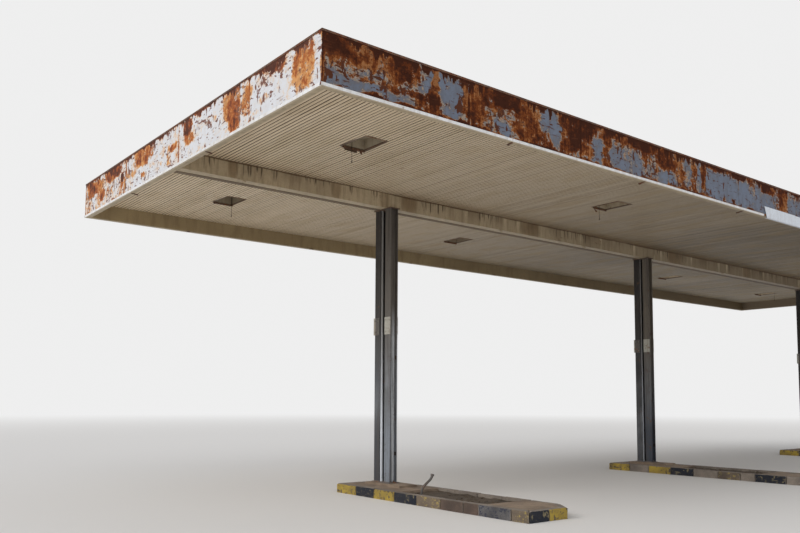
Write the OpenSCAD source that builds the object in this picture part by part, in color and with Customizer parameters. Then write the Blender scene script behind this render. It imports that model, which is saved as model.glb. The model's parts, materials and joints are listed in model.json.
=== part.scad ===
// Filling station canopy on three twin-post columns, each on a low pump island.
// X runs along the roof, Y across it, Z up; the origin is on the ground under the middle of the roof.

/* [Roof] */
// Length of the roof over the fascia
roof_length = 23940; // [18000:10:32000]
// Width of the roof over the fascia
roof_width = 8200; // [6500:10:12000]
// Height of the underside of the edge beam above the ground
clear_height = 5015; // [3500:5:6500]
// Height of the fascia from the drip trim to its top edge
fascia_height = 636; // [540:2:900]
// Height of the ceiling above the underside of the edge beam
ceiling_rise = 265; // [150:5:300]
// Length of a fascia panel
panel_length = 2177; // [1200:1:3000]
// Length of a drip trim strip
trim_length = 2870; // [1500:10:4000]

/* [Centre beam] */
// Distance from the centre line to the beam's front face
beam_front = 150; // [146:1:200]
// Distance from the centre line to the beam's back face
beam_back = 194; // [190:1:260]
// Width of the board under the beam; behind it an open slot shows the back girder
beam_board = 166; // [100:1:200]

/* [Columns] */
// Place of the left column along the roof
left_column = -7955; // [-9000:5:-6500]
// Place of the middle column along the roof
middle_column = -220; // [-1000:5:1000]
// Place of the right column along the roof
right_column = 8120; // [6500:5:9000]
// Depth and flange width of an H post
post_size = 160; // [140:2:180]
// Distance between the middles of the two posts of a column
post_gap = 290; // [260:5:330]
// The same distance at the middle column, whose posts stand closer
middle_gap = 240; // [220:5:330]

/* [Lights] */
// Length of a light opening, measured across the roof
light_length = 540; // [300:10:800]
// Width of a light opening, measured along the roof
light_width = 354; // [200:2:500]
// Distance of the light openings from the centre line
light_offset = 2135; // [1600:5:2300]
// Distance of the outer light openings from the end of the roof
light_end = 1990; // [1000:10:2500]
// Distance of the inner light openings from the end of the roof
light_inner = 7705; // [7000:5:8000]

/* [Islands] */
// Height of an island above the ground
island_height = 160; // [100:5:250]
// Distance the island reaches in front of its column
island_front = 3895; // [3300:10:4050]
// Distance the island reaches behind its column
island_back = 650; // [500:10:1500]
// Distance from the column to the island's left side
island_left = 595; // [500:5:800]
// Distance from the column to the island's right side
island_right = 440; // [400:5:800]

/* [View] */
// Part to show

/* [Hidden] */
half_l = roof_length / 2;
half_w = roof_width / 2;
ceiling_z = clear_height + ceiling_rise;
fascia_top = clear_height + fascia_height;
trim_h = 34;
trim_out = 8;
sheet = 4;
column_x = [left_column, middle_column, right_column];
column_gap = [post_gap, middle_gap, post_gap];
pipe_foot = [-40, 62];
pipe_shift = [26, -2, 26];
light_x = [-half_l + light_end, -half_l + light_inner, half_l - light_inner, half_l - light_end];
edge_flange = 95;
edge_h = 320;
return_d = 60;
return_z = fascia_height - 8;
ceiling_t = 14;
head_t = 15;
head_top = clear_height + 8;
girder_h = ceiling_rise + 12;
beam_z = ceiling_z + 20;
cross_h = 140;
purlin_h = 30;
fall = 0.7;
kerb_w = 120;
pad_z = island_height + 30;
patch_x = [-2380, -1195, 0, 1190];

// Cuts a run from a to b into lengths of p; a last piece under 400 joins the one before it.
function cuts(a, b, p) = concat([for (x = [a : p : b - 400]) x], [b]);

// Places children on one of the four sides; outer face of the roof on y = 0, inside towards +Y.
module on_side(side) {
    if (side == "front") translate([0, -half_w, 0]) children();
    if (side == "back") translate([0, half_w, 0]) rotate([0, 0, 180]) children();
    if (side == "left") translate([-half_l, 0, 0]) rotate([0, 0, -90]) children();
    if (side == "right") translate([half_l, 0, 0]) rotate([0, 0, 90]) children();
}

// Extrudes a profile, drawn as [inward, up], along the side from x0 to x1.
module along(x0, x1) {
    translate([x0, 0, clear_height])
        rotate([90, 0, 90])
            linear_extrude(x1 - x0)
                children();
}

// One fascia panel of folded sheet, seen from its end, with a return at the top.
module fascia_profile() {
    polygon([[0, 14], [sheet, 14], [sheet, return_z], [return_d, return_z],
        [return_d, return_z + sheet], [0, return_z + sheet]]);
}

// A row of fascia panels; the returns stop short at both corners by the given length.
module fascia_row(len, corner) {
    joints = cuts(-len / 2, len / 2, panel_length);
    difference() {
        for (i = [0 : len(joints) - 2])
            along(joints[i] + (i == 0 ? 0 : 2), joints[i + 1] - (i == len(joints) - 2 ? 0 : 2))
                fascia_profile();
        for (s = [-1, 1])
            translate([s * len / 2, sheet + 60, clear_height + return_z + 2])
                cube([2 * corner, 120, 12], center = true);
    }
}

module front_fascia() {
    color("#7a4128") on_side("front") fascia_row(roof_length, sheet + 1);
}

module back_fascia() {
    color("#7a4128") on_side("back") fascia_row(roof_length, sheet + 1);
}

module left_fascia() {
    color("#d9d6d2") on_side("left") fascia_row(roof_width - 2 * sheet - 1, return_d);
}

module right_fascia() {
    color("#d9d6d2") on_side("right") fascia_row(roof_width - 2 * sheet - 1, return_d);
}

// Folded capping over the top edge of the fascia.
module capping_side(len) {
    z = return_z + sheet;
    along(-len / 2, len / 2)
        polygon([[-5, z - 22], [-1, z - 22], [-1, z], [76, z], [76, z + 4], [-5, z + 4]]);
}

module top_capping() {
    color("#3b2019") {
        for (s = ["front", "back"])
            on_side(s) capping_side(roof_length + 10);
        for (s = ["left", "right"])
            on_side(s)
                difference() {
                    capping_side(roof_width);
                    for (e = [-1, 1])
                        translate([e * half_w, 60, clear_height + return_z])
                            cube([156, 140, 60], center = true);
                }
    }
}

// Drip trim: a lip outside the fascia and a leg under the edge beam.
module trim_profile() {
    polygon([[-trim_out, -3], [22, -3], [22, 0], [-4, 0], [-4, trim_h], [-trim_out, trim_h]]);
}

module trim_row(joints) {
    for (i = [0 : len(joints) - 2])
        along(joints[i] + 1.5, joints[i + 1] - 1.5)
            trim_profile();
}

// The front trim is missing along the patched stretch.
module drip_trim() {
    end_l = half_l + trim_out;
    color("#e6e4e0") {
        on_side("front") {
            trim_row(cuts(-end_l, patch_x[0] - 14, trim_length));
            trim_row(cuts(patch_x[3] + 14, end_l, trim_length));
        }
        on_side("back") trim_row(cuts(-end_l, end_l, trim_length));
        on_side("left") trim_row([-half_w + 24, -1830, 1040, half_w - 24]);
        on_side("right") trim_row([-half_w + 24, -1230, 1640, half_w - 24]);
    }
}

// Pale sheets fixed over the lower part of the front fascia; the first is cut at a slant.
module patch_sheet(x0, x1, z1, slant) {
    out = 14;
    translate([0, -out, clear_height])
        rotate([90, 0, 0])
            mirror([0, 0, 1])
                linear_extrude(3)
                    polygon([[x0, z1], [x1, z1], [x1, -22], [x0 + slant, -22]]);
    translate([x0, -out, clear_height + z1 - 3]) cube([x1 - x0, out, 3]);
    translate([x0 + slant, -out, clear_height - 22]) cube([x1 - x0 - slant, 44, 3]);
}

module patch_panel() {
    color("#dfe3e8")
        on_side("front") {
            patch_sheet(patch_x[0], patch_x[1], 182, 88);
            patch_sheet(patch_x[1] + 5, patch_x[2], 176, 0);
            patch_sheet(patch_x[2] + 5, patch_x[3], 180, 0);
        }
}

// Channel of the edge beam: web on the inside, flanges pointing out to the fascia.
module edge_channel(len) {
    f = edge_flange;
    along(-len / 2, len / 2)
        polygon([[sheet, 0], [f, 0], [f, edge_h], [sheet, edge_h], [sheet, edge_h - 8],
            [f - 8, edge_h - 8], [f - 8, 8], [sheet, 8]]);
}

module front_edge_beam() {
    color("#a3937a") on_side("front") edge_channel(roof_length - 2 * sheet - 2);
}

module back_edge_beam() {
    color("#a3937a") on_side("back") edge_channel(roof_length - 2 * sheet - 2);
}

module left_edge_beam() {
    color("#a3937a") on_side("left") edge_channel(roof_width - 2 * edge_flange - 2);
}

module right_edge_beam() {
    color("#a3937a") on_side("right") edge_channel(roof_width - 2 * edge_flange - 2);
}

// Short angle posts that stand on the edge beam and carry the upper part of the fascia.
module post_angle() {
    translate([0, sheet, clear_height + edge_h])
        linear_extrude(return_z - edge_h)
            polygon([[0, 0], [40, 0], [40, 4], [4, 4], [4, 40], [0, 40]]);
}

module fascia_posts() {
    count = round(roof_length / panel_length);
    color("#6f6a63") {
        for (s = ["front", "back"])
            on_side(s)
                for (i = [0 : count - 1])
                    translate([-half_l + (i + 0.5) * panel_length, 0, 0])
                        post_angle();
        for (s = ["left", "right"])
            on_side(s)
                for (i = [0 : 3])
                    translate([-half_w + (i + 0.5) * roof_width / 4, 0, 0])
                        post_angle();
    }
}

// Rolled H section with root fillets, its web along the first axis.
module h_profile(depth, flange, tf, tw, r) {
    for (s = [-1, 1])
        translate([s * (depth - tf) / 2, 0])
            square([tf, flange], center = true);
    square([depth - tf, tw], center = true);
    for (a = [0, 1], b = [0, 1])
        mirror([a, 0])
            mirror([0, b])
                translate([depth / 2 - tf, tw / 2])
                    difference() {
                        translate([-r, -1]) square([r + 1, r + 1]);
                        translate([-r, r]) circle(r, $fn = 32);
                    }
}

// One of the twin girders that run the length of the roof over the columns.
module girder(y) {
    translate([0, y, head_top + girder_h / 2])
        rotate([90, 0, 90])
            rotate([0, 0, 90])
                translate([0, 0, -half_l + edge_flange + 2])
                    linear_extrude(roof_length - 2 * edge_flange - 4)
                        h_profile(girder_h, 108, 12, 8, 14);
}

module front_girder() {
    color("#5b4a3a") girder(-beam_front + 60);
}

module back_girder() {
    color("#5b4a3a") girder(beam_back - 68);
}

// Runs a cladding sheet of the centre beam in lengths, seen from its end as [across, up].
module beam_cladding(y0, z0, dy, dz) {
    run = half_l - edge_flange - 4;
    joints = cuts(-run, run, trim_length);
    for (i = [0 : len(joints) - 2])
        translate([joints[i], y0, clear_height + z0])
            cube([joints[i + 1] - joints[i] - 4, dy, dz]);
}

// Room around the head of each column.
module head_room(y0, y1, z1) {
    for (x = column_x)
        translate([x - 124, y0, clear_height - 10])
            cube([248, y1 - y0, z1 + 10]);
}

module beam_side_cladding() {
    color("#8f8269")
        difference() {
            beam_cladding(-beam_front, 0, 4, ceiling_rise);
            head_room(-beam_front - 10, -beam_front + 10, 8.5);
        }
}

module beam_back_cladding() {
    color("#8f8269") beam_cladding(beam_back - 4, 24, 4, ceiling_rise - 24);
}

module beam_bottom_cladding() {
    color("#b0a184")
        difference() {
            beam_cladding(-beam_front + 4.5, 0, beam_board, 4);
            head_room(-beam_front - 10, beam_back, 30);
        }
}

// One bay of the ceiling, cut round its light openings into slabs; y0 is the edge at the centre beam.
module ceiling_bay(dir) {
    y0 = (dir < 0 ? beam_front : beam_back) + 2;
    y1 = half_w - edge_flange - 2;
    x0 = -half_l + edge_flange + 2;
    x1 = half_l - edge_flange - 2;
    xs = concat([x0], [for (x = light_x) each [x - light_width / 2, x + light_width / 2]], [x1]);
    translate([0, 0, ceiling_z])
        scale([1, dir, 1]) {
            for (i = [0 : 2 : len(xs) - 1])
                translate([xs[i] + 1, y0, 0])
                    cube([xs[i + 1] - xs[i] - 2, y1 - y0, ceiling_t]);
            for (x = light_x) {
                translate([x - light_width / 2 + 1, y0, 0])
                    cube([light_width - 2, light_offset - light_length / 2 - y0, ceiling_t]);
                translate([x - light_width / 2 + 1, light_offset + light_length / 2, 0])
                    cube([light_width - 2, y1 - light_offset - light_length / 2, ceiling_t]);
            }
        }
}

module front_ceiling() {
    color("#b3a283") ceiling_bay(-1);
}

module back_ceiling() {
    color("#b3a283") ceiling_bay(1);
}

// Sheet-metal box over a light opening: four sides and a lid.
module light_box() {
    h = 150;
    translate([0, 0, ceiling_z + ceiling_t]) {
        for (s = [-1, 1]) {
            translate([s * (light_width / 2 + 3), 0, h / 2])
                cube([2, light_length + 8, h], center = true);
            translate([0, s * (light_length / 2 + 3), h / 2])
                cube([light_width + 4, 2, h], center = true);
        }
        translate([0, 0, h + 1])
            cube([light_width + 8, light_length + 8, 2], center = true);
    }
}

module light_boxes(dir) {
    color("#4a4239")
        for (x = light_x)
            translate([x, dir * light_offset, 0])
                light_box();
}

module front_light_boxes() {
    light_boxes(-1);
}

module back_light_boxes() {
    light_boxes(1);
}

// Frame strips under the edges of the light openings, the one on the far side deeper.
// Each opening has lost one of its two end strips.
module light_frames() {
    w = 18;
    a = light_width / 2;
    b = light_length / 2;
    deep = [3, 28, 3, 3];
    strips = [[-a - w, -b - w, 2 * a + 2 * w, w], [-a - w, b, 2 * a + 2 * w, w],
        [-a - w, -b + 1, w, 2 * b - 2], [a, -b + 1, w, 2 * b - 2]];
    color("#8a7f6c")
        for (i = [0 : 3], d = [-1, 1], s = [0 : 3])
            if (s != 2 + i % 2)
                translate([light_x[i], d * light_offset, ceiling_z - deep[s]])
                    translate([strips[s][0], strips[s][1], 0])
                        cube([strips[s][2], strips[s][3], deep[s]]);
}

// Thin rods left hanging from the lids of four light boxes, each with a small ferrule at its end.
module light_rods() {
    far = light_length / 2 - 15;
    color("#3a332b")
        for (p = [[0, -1, -50, far], [1, -1, -50, far], [0, 1, 160, far], [3, 1, 160, 45 - far]])
            translate([light_x[p[0]] + p[2], p[1] * light_offset + p[3], ceiling_z - 235]) {
                cylinder(h = ceiling_t + 235 + 150, d = 7);
                cylinder(h = 30, d = 15);
            }
}

// Cross beams over the girders that carry the edge beams.
module cross_beams() {
    y = half_w - edge_flange;
    color("#6b5c4c")
        for (i = [-4 : 4])
            translate([i * (half_l - 400) / 4, y, beam_z + cross_h / 2])
                rotate([90, 90, 0])
                    linear_extrude(2 * y)
                        h_profile(cross_h, 73, 7, 5, 7);
}

// Purlins over the cross beams, packed up towards the long sides so that the roof drains inwards.
module purlins() {
    edge = half_w - 240;
    color("#6b5c4c")
        for (s = [-1, 1], k = [0 : 3])
            let (y = s * (600 + k * (edge - 600) / 3))
                translate([-half_l + 200, y - 25, beam_z + cross_h])
                    cube([roof_length - 400, 50, purlin_h + (abs(y) - 25) * tan(fall)]);
}

// Ribbed roof sheet, seen from its end, laid with a fall to the centre gutter.
function rib(i, p) = [[i * p, 0], [i * p + 120, 0], [i * p + 145, 35], [i * p + 225, 35]];

module roof_sheet(dir) {
    p = 250;
    n = floor((roof_length - 260) / p);
    up = [for (i = [0 : n - 1]) each rib(i, p)];
    down = [for (i = [len(up) - 1 : -1 : 0]) [up[i][0], up[i][1] + 3]];
    inner = 110;
    run = half_w - return_d - inner - 30;
    color("#8c8a86")
        translate([-n * p / 2, dir * inner, beam_z + cross_h + purlin_h + 0.5 + inner * tan(fall)])
            rotate([dir * fall, 0, 0])
                rotate([90, 0, 0])
                    translate([0, 0, dir > 0 ? -run : 0])
                        linear_extrude(run)
                            polygon(concat(up, down));
}

module front_roof_sheet() {
    roof_sheet(-1);
}

module back_roof_sheet() {
    roof_sheet(1);
}

// Box gutter on the cross beams, with lips under the inner edges of the roof sheets.
module centre_gutter() {
    h = purlin_h;
    color("#77756f")
        translate([-half_l + 180, 0, beam_z + cross_h])
            rotate([90, 0, 90])
                linear_extrude(roof_length - 360)
                    polygon([[-100, 0], [100, 0], [100, h - 3], [140, h - 3], [140, h], [97, h],
                        [97, 3], [-97, 3], [-97, h], [-140, h], [-140, h - 3], [-100, h - 3]]);
}

// An H post from its base plate to its head plate, the web along the roof.
module h_post(i, dir) {
    z0 = pad_z + head_t;
    color("#5a626a")
        translate([column_x[i], dir * column_gap[i] / 2, z0])
            linear_extrude(head_top - head_t - z0)
                h_profile(post_size, post_size, 13, 8, 15);
}

module left_front_post() { h_post(0, -1); }
module left_back_post() { h_post(0, 1); }
module middle_front_post() { h_post(1, -1); }
module middle_back_post() { h_post(1, 1); }
module right_front_post() { h_post(2, -1); }
module right_back_post() { h_post(2, 1); }

// Cover plates at mid height: one on each post on the left, one across both posts on the right.
module column_battens() {
    z = 2770;
    h = 305;
    t = 8;
    p = post_size;
    color("#9a978f")
        for (i = [0 : 2])
            let (x = column_x[i], g = column_gap[i]) {
                translate([x - p / 2 - t, -(g + p) / 2, z]) cube([t, p, h]);
                translate([x - p / 2 - t, (g - p) / 2 + 42, z]) cube([t, p - 12, h]);
                translate([x + p / 2, -(g + p) / 2, z]) cube([t, g + p, h]);
            }
}

module head_plates() {
    color("#4a4542")
        for (i = [0 : 2])
            let (w = column_gap[i] + post_size + 30)
                translate([column_x[i] - 110, -w / 2, head_top - head_t])
                    cube([220, w, head_t]);
}

module base_plates() {
    color("#8d8a84")
        for (i = [0 : 2])
            let (w = column_gap[i] + post_size + 40)
                translate([column_x[i] - 110, -w / 2, pad_z])
                    cube([220, w, head_t]);
}

// Rainwater pipes in front of the back posts, the outer two leaning a little towards the back.
module downpipes() {
    z0 = pad_z + head_t;
    z1 = head_top - head_t;
    color("#a9adb0")
        for (i = [0 : 2])
            translate([column_x[i] + pipe_foot[0], pipe_foot[1], 0])
                difference() {
                    translate([0, 0, z0])
                        rotate([-atan2(pipe_shift[i], z1 - z0), 0, 0])
                            difference() {
                                translate([0, 0, -20]) cylinder(h = z1 - z0 + 40, d = 48);
                                translate([0, 0, -21]) cylinder(h = z1 - z0 + 42, d = 43);
                            }
                    translate([-50, -80, z0 - 60]) cube([100, 200, 60]);
                    translate([-50, -80, z1]) cube([100, 200, 60]);
                }
}

// Outline of an island round its column, and the same line on the inside of the kerb.
function island_line(k) = [[-island_left + k, island_back - k], [-island_left + k, 315 - island_front + k / 20],
    [30 - island_left + 0.91 * k, k - island_front], [island_right - 220 - 0.55 * k, k - island_front],
    [island_right - k, 320 - island_front + 0.3 * k], [island_right - k, island_back - k]];

// Point d away from a on the way to b.
function toward(a, b, d) = a + (b - a) * d / norm(b - a);

// Kerb of an island: six straight lengths with open joints at the corners.
module kerb(i) {
    gap = 1.5;
    o = island_line(0);
    n = island_line(kerb_w);
    color("#c9a437")
        translate([column_x[i], 0, 0])
            for (k = [0 : 5])
                let (m = (k + 1) % 6)
                    linear_extrude(island_height)
                        polygon([toward(o[k], o[m], gap), toward(o[m], o[k], gap),
                            toward(n[m], n[k], gap), toward(n[k], n[m], gap)]);
}

// Concrete inside the kerb: a flat front end, a sunk trough, and a pad under the column.
module infill(i) {
    n = island_line(kerb_w + 2);
    trough = [-3000, -1050];
    color("#8b8177")
        translate([column_x[i], 0, 0]) {
            linear_extrude(island_height - 3)
                polygon([[n[0][0], trough[0] - 1], n[1], n[2], n[3], n[4], [n[4][0], trough[0] - 1]]);
            linear_extrude(island_height - 70)
                polygon([[n[0][0], trough[1]], [n[0][0], trough[0]], [n[4][0], trough[0]],
                    [n[4][0], trough[1]]]);
            linear_extrude(island_height - 5)
                polygon([n[0], [n[0][0], trough[1] + 1], [n[4][0], trough[1] + 1], n[5]]);
            translate([-190, -640, island_height - 5]) cube([380, 970, 35]);
        }
}

module left_kerb() { kerb(0); }
module middle_kerb() { kerb(1); }
module right_kerb() { kerb(2); }
module left_infill() { infill(0); }
module middle_infill() { infill(1); }
module right_infill() { infill(2); }

// One ring of a tube in the upright plane: place across and up, lean off the upright, radius.
function tube_ring(x, z, lean, r, n) = [for (k = [0 : n - 1])
    [x + r * cos(360 * k / n) * cos(lean), r * sin(360 * k / n), z - r * cos(360 * k / n) * sin(lean)]];

// Closed tube through a list of rings with n points each.
module ring_tube(rings, n) {
    last = len(rings) - 1;
    sides = [for (j = [0 : last - 1], k = [0 : n - 1])
        [j * n + k, (j + 1) * n + k, (j + 1) * n + (k + 1) % n, j * n + (k + 1) % n]];
    caps = [[for (k = [0 : n - 1]) k], [for (k = [n - 1 : -1 : 0]) last * n + k]];
    polyhedron([for (ring = rings) each ring], concat(sides, caps));
}

// Stub of a service pipe that rises from the left island's trough in an S bend, with a flared end.
module bent_pipe() {
    n = 16;
    bend = 150;
    r = 20;
    flare = 28;
    lean = 50;
    end_lean = 20;
    rise = 60;
    run = 120;
    cx = bend * (1 - 2 * cos(lean)) + run * sin(lean);
    cz = rise + 2 * bend * sin(lean) + run * cos(lean);
    x3 = cx + bend * cos(end_lean);
    z3 = cz - bend * sin(end_lean);
    rings = concat([tube_ring(0, 0, 0, r, n)],
        [for (a = [0 : 10 : lean]) tube_ring(bend * (1 - cos(a)), rise + bend * sin(a), a, r, n)],
        [for (a = [lean : -10 : end_lean]) tube_ring(cx + bend * cos(a), cz - bend * sin(a), a, r, n)],
        [for (d = [4, 34]) tube_ring(x3 + d * sin(end_lean), z3 + d * cos(end_lean), end_lean, flare, n)]);
    color("#2c2d31")
        translate([left_column - 279, -1331, island_height - 70])
            rotate([0, 0, -10])
                ring_tube(rings, n);
}

front_fascia();
back_fascia();
left_fascia();
right_fascia();
top_capping();
drip_trim();
patch_panel();
front_edge_beam();
back_edge_beam();
left_edge_beam();
right_edge_beam();
fascia_posts();
front_girder();
back_girder();
beam_side_cladding();
beam_bottom_cladding();
beam_back_cladding();
front_ceiling();
back_ceiling();
front_light_boxes();
back_light_boxes();
light_frames();
light_rods();
cross_beams();
purlins();
front_roof_sheet();
back_roof_sheet();
centre_gutter();
left_front_post();
left_back_post();
middle_front_post();
middle_back_post();
right_front_post();
right_back_post();
column_battens();
head_plates();
base_plates();
downpipes();
left_kerb();
middle_kerb();
right_kerb();
left_infill();
middle_infill();
right_infill();
bent_pipe();
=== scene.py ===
"""Dresses the filling station canopy: slatted ceiling, kerb stones, fixings, worn finishes and a plain studio."""

import json
import logging
import math
import random
from collections.abc import Callable, Iterator, Sequence
from contextlib import contextmanager
from dataclasses import KW_ONLY, dataclass
from enum import Enum
from functools import cache
from typing import NamedTuple

import bpy
from mathutils import Matrix, Vector


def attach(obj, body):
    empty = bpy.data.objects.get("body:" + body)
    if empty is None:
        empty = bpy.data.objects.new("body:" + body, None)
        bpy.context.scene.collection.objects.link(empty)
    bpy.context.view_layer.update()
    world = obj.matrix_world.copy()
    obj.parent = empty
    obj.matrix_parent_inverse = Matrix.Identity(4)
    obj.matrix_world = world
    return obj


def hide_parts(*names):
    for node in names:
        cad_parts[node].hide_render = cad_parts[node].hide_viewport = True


LOG = logging.getLogger("canopy")
BODY = "root"
CLEAR = 5.015
FASCIA_TOP = 5.651
ROOF_HALF = 11.97
ROOF_HALF_W = 4.1
PANEL = 2.177
END_PANEL_START = 4.0955
LIGHT_X = (-9.98, -4.265, 4.265, 9.98)
LIGHT_Y = 2.135
LIGHT_HALF = (0.177, 0.270)
SLAT_PITCH = 0.063
COLUMN_X = (-7.955, -0.22, 8.12)
UP = Vector((0, 0, 1))

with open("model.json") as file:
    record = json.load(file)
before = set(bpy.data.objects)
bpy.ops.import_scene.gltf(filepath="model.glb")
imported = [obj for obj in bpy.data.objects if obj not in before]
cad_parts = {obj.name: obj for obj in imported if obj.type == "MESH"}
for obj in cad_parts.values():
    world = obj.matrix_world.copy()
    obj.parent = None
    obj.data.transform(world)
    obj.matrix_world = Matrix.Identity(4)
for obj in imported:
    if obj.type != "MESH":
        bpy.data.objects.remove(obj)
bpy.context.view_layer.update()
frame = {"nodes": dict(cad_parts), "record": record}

Piece = bpy.types.Object
Test = Callable[[Vector, Vector], bool]
Trio = tuple[float, float, float]
Rgb = Trio
Span = tuple[float, float]


class Pick(Enum):
    """Which elements of a mesh are picked in edit mode."""

    EDGES = (False, True, False)
    FACES = (False, False, True)


class Face(Enum):
    """The way a patched face looks, by the number of the axis that runs along it."""

    FRONT = 0
    SIDE = 1


# ---------------------------------------------------------------- modelling, as by hand


def clear() -> None:
    """Deselects every object."""
    for item in list(bpy.context.selected_objects):
        item.select_set(False)


def hold(piece: Piece) -> None:
    """Makes one piece the active and only selected object."""
    clear()
    piece.select_set(True)
    bpy.context.view_layer.objects.active = piece


def settle(piece: Piece) -> Piece:
    """Puts the piece's place, turn and scale into its mesh."""
    hold(piece)
    bpy.ops.object.transform_apply(location=True, rotation=True, scale=True)
    return piece


def box(name: str, low: Sequence[float], high: Sequence[float]) -> Piece:
    """Starts a piece as a block between two corners.

    Args:
        name: Name of the new object.
        low: Lowest corner in metres.
        high: Highest corner in metres.

    Returns:
        The block, settled at the origin.
    """
    clear()
    a, b = Vector(low), Vector(high)
    bpy.ops.mesh.primitive_cube_add(size=1, location=(a + b) / 2)
    piece = bpy.context.object
    piece.name, piece.scale = name, b - a
    return settle(piece)


def rod(name: str, foot: Sequence[float], radius: float, length: float, sides: int) -> Piece:
    """Starts a piece as an upright rod.

    Args:
        name: Name of the new object.
        foot: Middle of the foot in metres.
        radius: Radius in metres.
        length: Length in metres.
        sides: Number of sides.

    Returns:
        The rod, settled at the origin.
    """
    clear()
    bpy.ops.mesh.primitive_cylinder_add(vertices=sides, radius=radius, depth=length)
    piece = bpy.context.object
    piece.name, piece.location = name, Vector(foot) + UP * length / 2
    return settle(piece)


def pick(piece: Piece, kind: Pick, test: Test) -> int:
    """Picks edges or faces by place and direction.

    Args:
        piece: The mesh object, in object mode.
        kind: Edges or faces.
        test: Takes the middle and the direction or normal, and says whether it is picked.

    Returns:
        How many were picked.
    """
    mesh = piece.data
    for group in (mesh.vertices, mesh.edges, mesh.polygons):
        group.foreach_set("select", [False] * len(group))
    count = 0
    if kind is Pick.FACES:
        for face in mesh.polygons:
            face.select = test(face.center, face.normal)
            count += face.select
    else:
        for edge in mesh.edges:
            a, b = (mesh.vertices[i].co for i in edge.vertices)
            edge.select = test((a + b) / 2, (b - a).normalized())
            count += edge.select
    return count


@contextmanager
def editing(piece: Piece, kind: Pick) -> Iterator[None]:
    """Opens edit mode on one piece, with what was picked.

    Args:
        piece: The mesh object.
        kind: What edit mode works on.

    Yields:
        Nothing; edit mode ends with the block.
    """
    hold(piece)
    bpy.context.tool_settings.mesh_select_mode = kind.value
    bpy.ops.object.mode_set(mode="EDIT")
    yield
    bpy.ops.object.mode_set(mode="OBJECT")


def bevel(piece: Piece, width: float, test: Test, segments: int = 1) -> None:
    """Bevels the edges that pass a test.

    Args:
        piece: The mesh object.
        width: Width of the bevel in metres.
        test: Says which edges are bevelled.
        segments: Steps of the bevel.
    """
    if pick(piece, Pick.EDGES, test):
        with editing(piece, Pick.EDGES):
            bpy.ops.mesh.bevel(offset=width, segments=segments, affect="EDGES")


def cut(piece: Piece, place: Sequence[float], normal: Sequence[float], drop: bool = False) -> None:
    """Cuts the whole mesh with a plane.

    Args:
        piece: The mesh object.
        place: A point on the plane.
        normal: The plane's normal.
        drop: Whether the side that the normal points to goes.
    """
    pick(piece, Pick.FACES, lambda middle, way: True)
    with editing(piece, Pick.FACES):
        bpy.ops.mesh.bisect(plane_co=tuple(place), plane_no=tuple(normal), use_fill=drop, clear_outer=drop)


def score(piece: Piece, axis: int, start: float, length: float, pieces: int) -> None:
    """Cuts evenly spaced rows of edges across a mesh.

    Args:
        piece: The mesh object.
        axis: Number of the axis that the rows follow one another on.
        start: Where the length starts.
        length: The length to divide.
        pieces: How many parts it is divided into.
    """
    way = Matrix.Identity(3)[axis]
    for step in range(1, pieces):
        cut(piece, way * (start + length * step / pieces), way)


def modify(piece: Piece, kind: str, **settings: object) -> None:
    """Adds one modifier and applies it.

    Args:
        piece: The mesh object.
        kind: Blender's name of the modifier type.
        settings: The modifier's settings.
    """
    hold(piece)
    modifier = piece.modifiers.new(kind.lower(), kind)
    for key, value in settings.items():
        setattr(modifier, key, value)
    bpy.ops.object.modifier_apply(modifier=modifier.name)


def roughen(piece: Piece, name: str, size: float, axis: str, depth: float, level: float, group: str = "") -> None:
    """Moves a mesh's points along one axis by a soft noise.

    Args:
        piece: The mesh object.
        name: Name of the noise texture.
        size: Size of the noise's bumps in metres.
        axis: Letter of the axis.
        depth: How far the points move in all.
        level: The noise value that stays in place.
        group: Vertex group that limits it.
    """
    noise = bpy.data.textures.new(name, "CLOUDS")
    noise.noise_scale = size
    modify(piece, "DISPLACE", texture=noise, texture_coords="LOCAL", direction=axis, strength=depth,
           mid_level=level, vertex_group=group)


def twin(piece: Piece, place: Matrix) -> Piece:
    """Copies a piece with its own mesh.

    Args:
        piece: The piece to copy.
        place: Where the copy goes, inside its mesh.

    Returns:
        The copy.
    """
    other = piece.copy()
    other.data = piece.data.copy()
    other.data.transform(place)
    bpy.context.scene.collection.objects.link(other)
    return other


def join(name: str, parts: Sequence[Piece]) -> Piece:
    """Joins pieces into one.

    Args:
        name: Name of the joined piece.
        parts: The pieces, the first of which takes in the others.

    Returns:
        The joined piece.
    """
    hold(parts[0])
    for part in parts:
        part.select_set(True)
    if len(parts) > 1:
        bpy.ops.object.join()
    parts[0].name = parts[0].data.name = name
    return parts[0]


def set_out(pattern: Piece, places: Sequence[Matrix]) -> list[Piece]:
    """Copies a pattern to each place and removes it.

    Args:
        pattern: The piece that is repeated.
        places: Where each copy goes.

    Returns:
        The copies.
    """
    laid = [twin(pattern, place) for place in places]
    bpy.data.objects.remove(pattern)
    return laid


def stand(foot: Sequence[float], out: Sequence[float]) -> Matrix:
    """Where a piece that is modelled upright on the origin goes, to stand on a foot along a direction."""
    return Matrix.Translation(foot) @ Vector(out).to_track_quat("Z", "Y").to_matrix().to_4x4()


def turned(angle: float, axis: str) -> Matrix:
    """A turn about one axis, in degrees."""
    return Matrix.Rotation(math.radians(angle), 4, axis)


# ---------------------------------------------------------------- node trees


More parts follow.
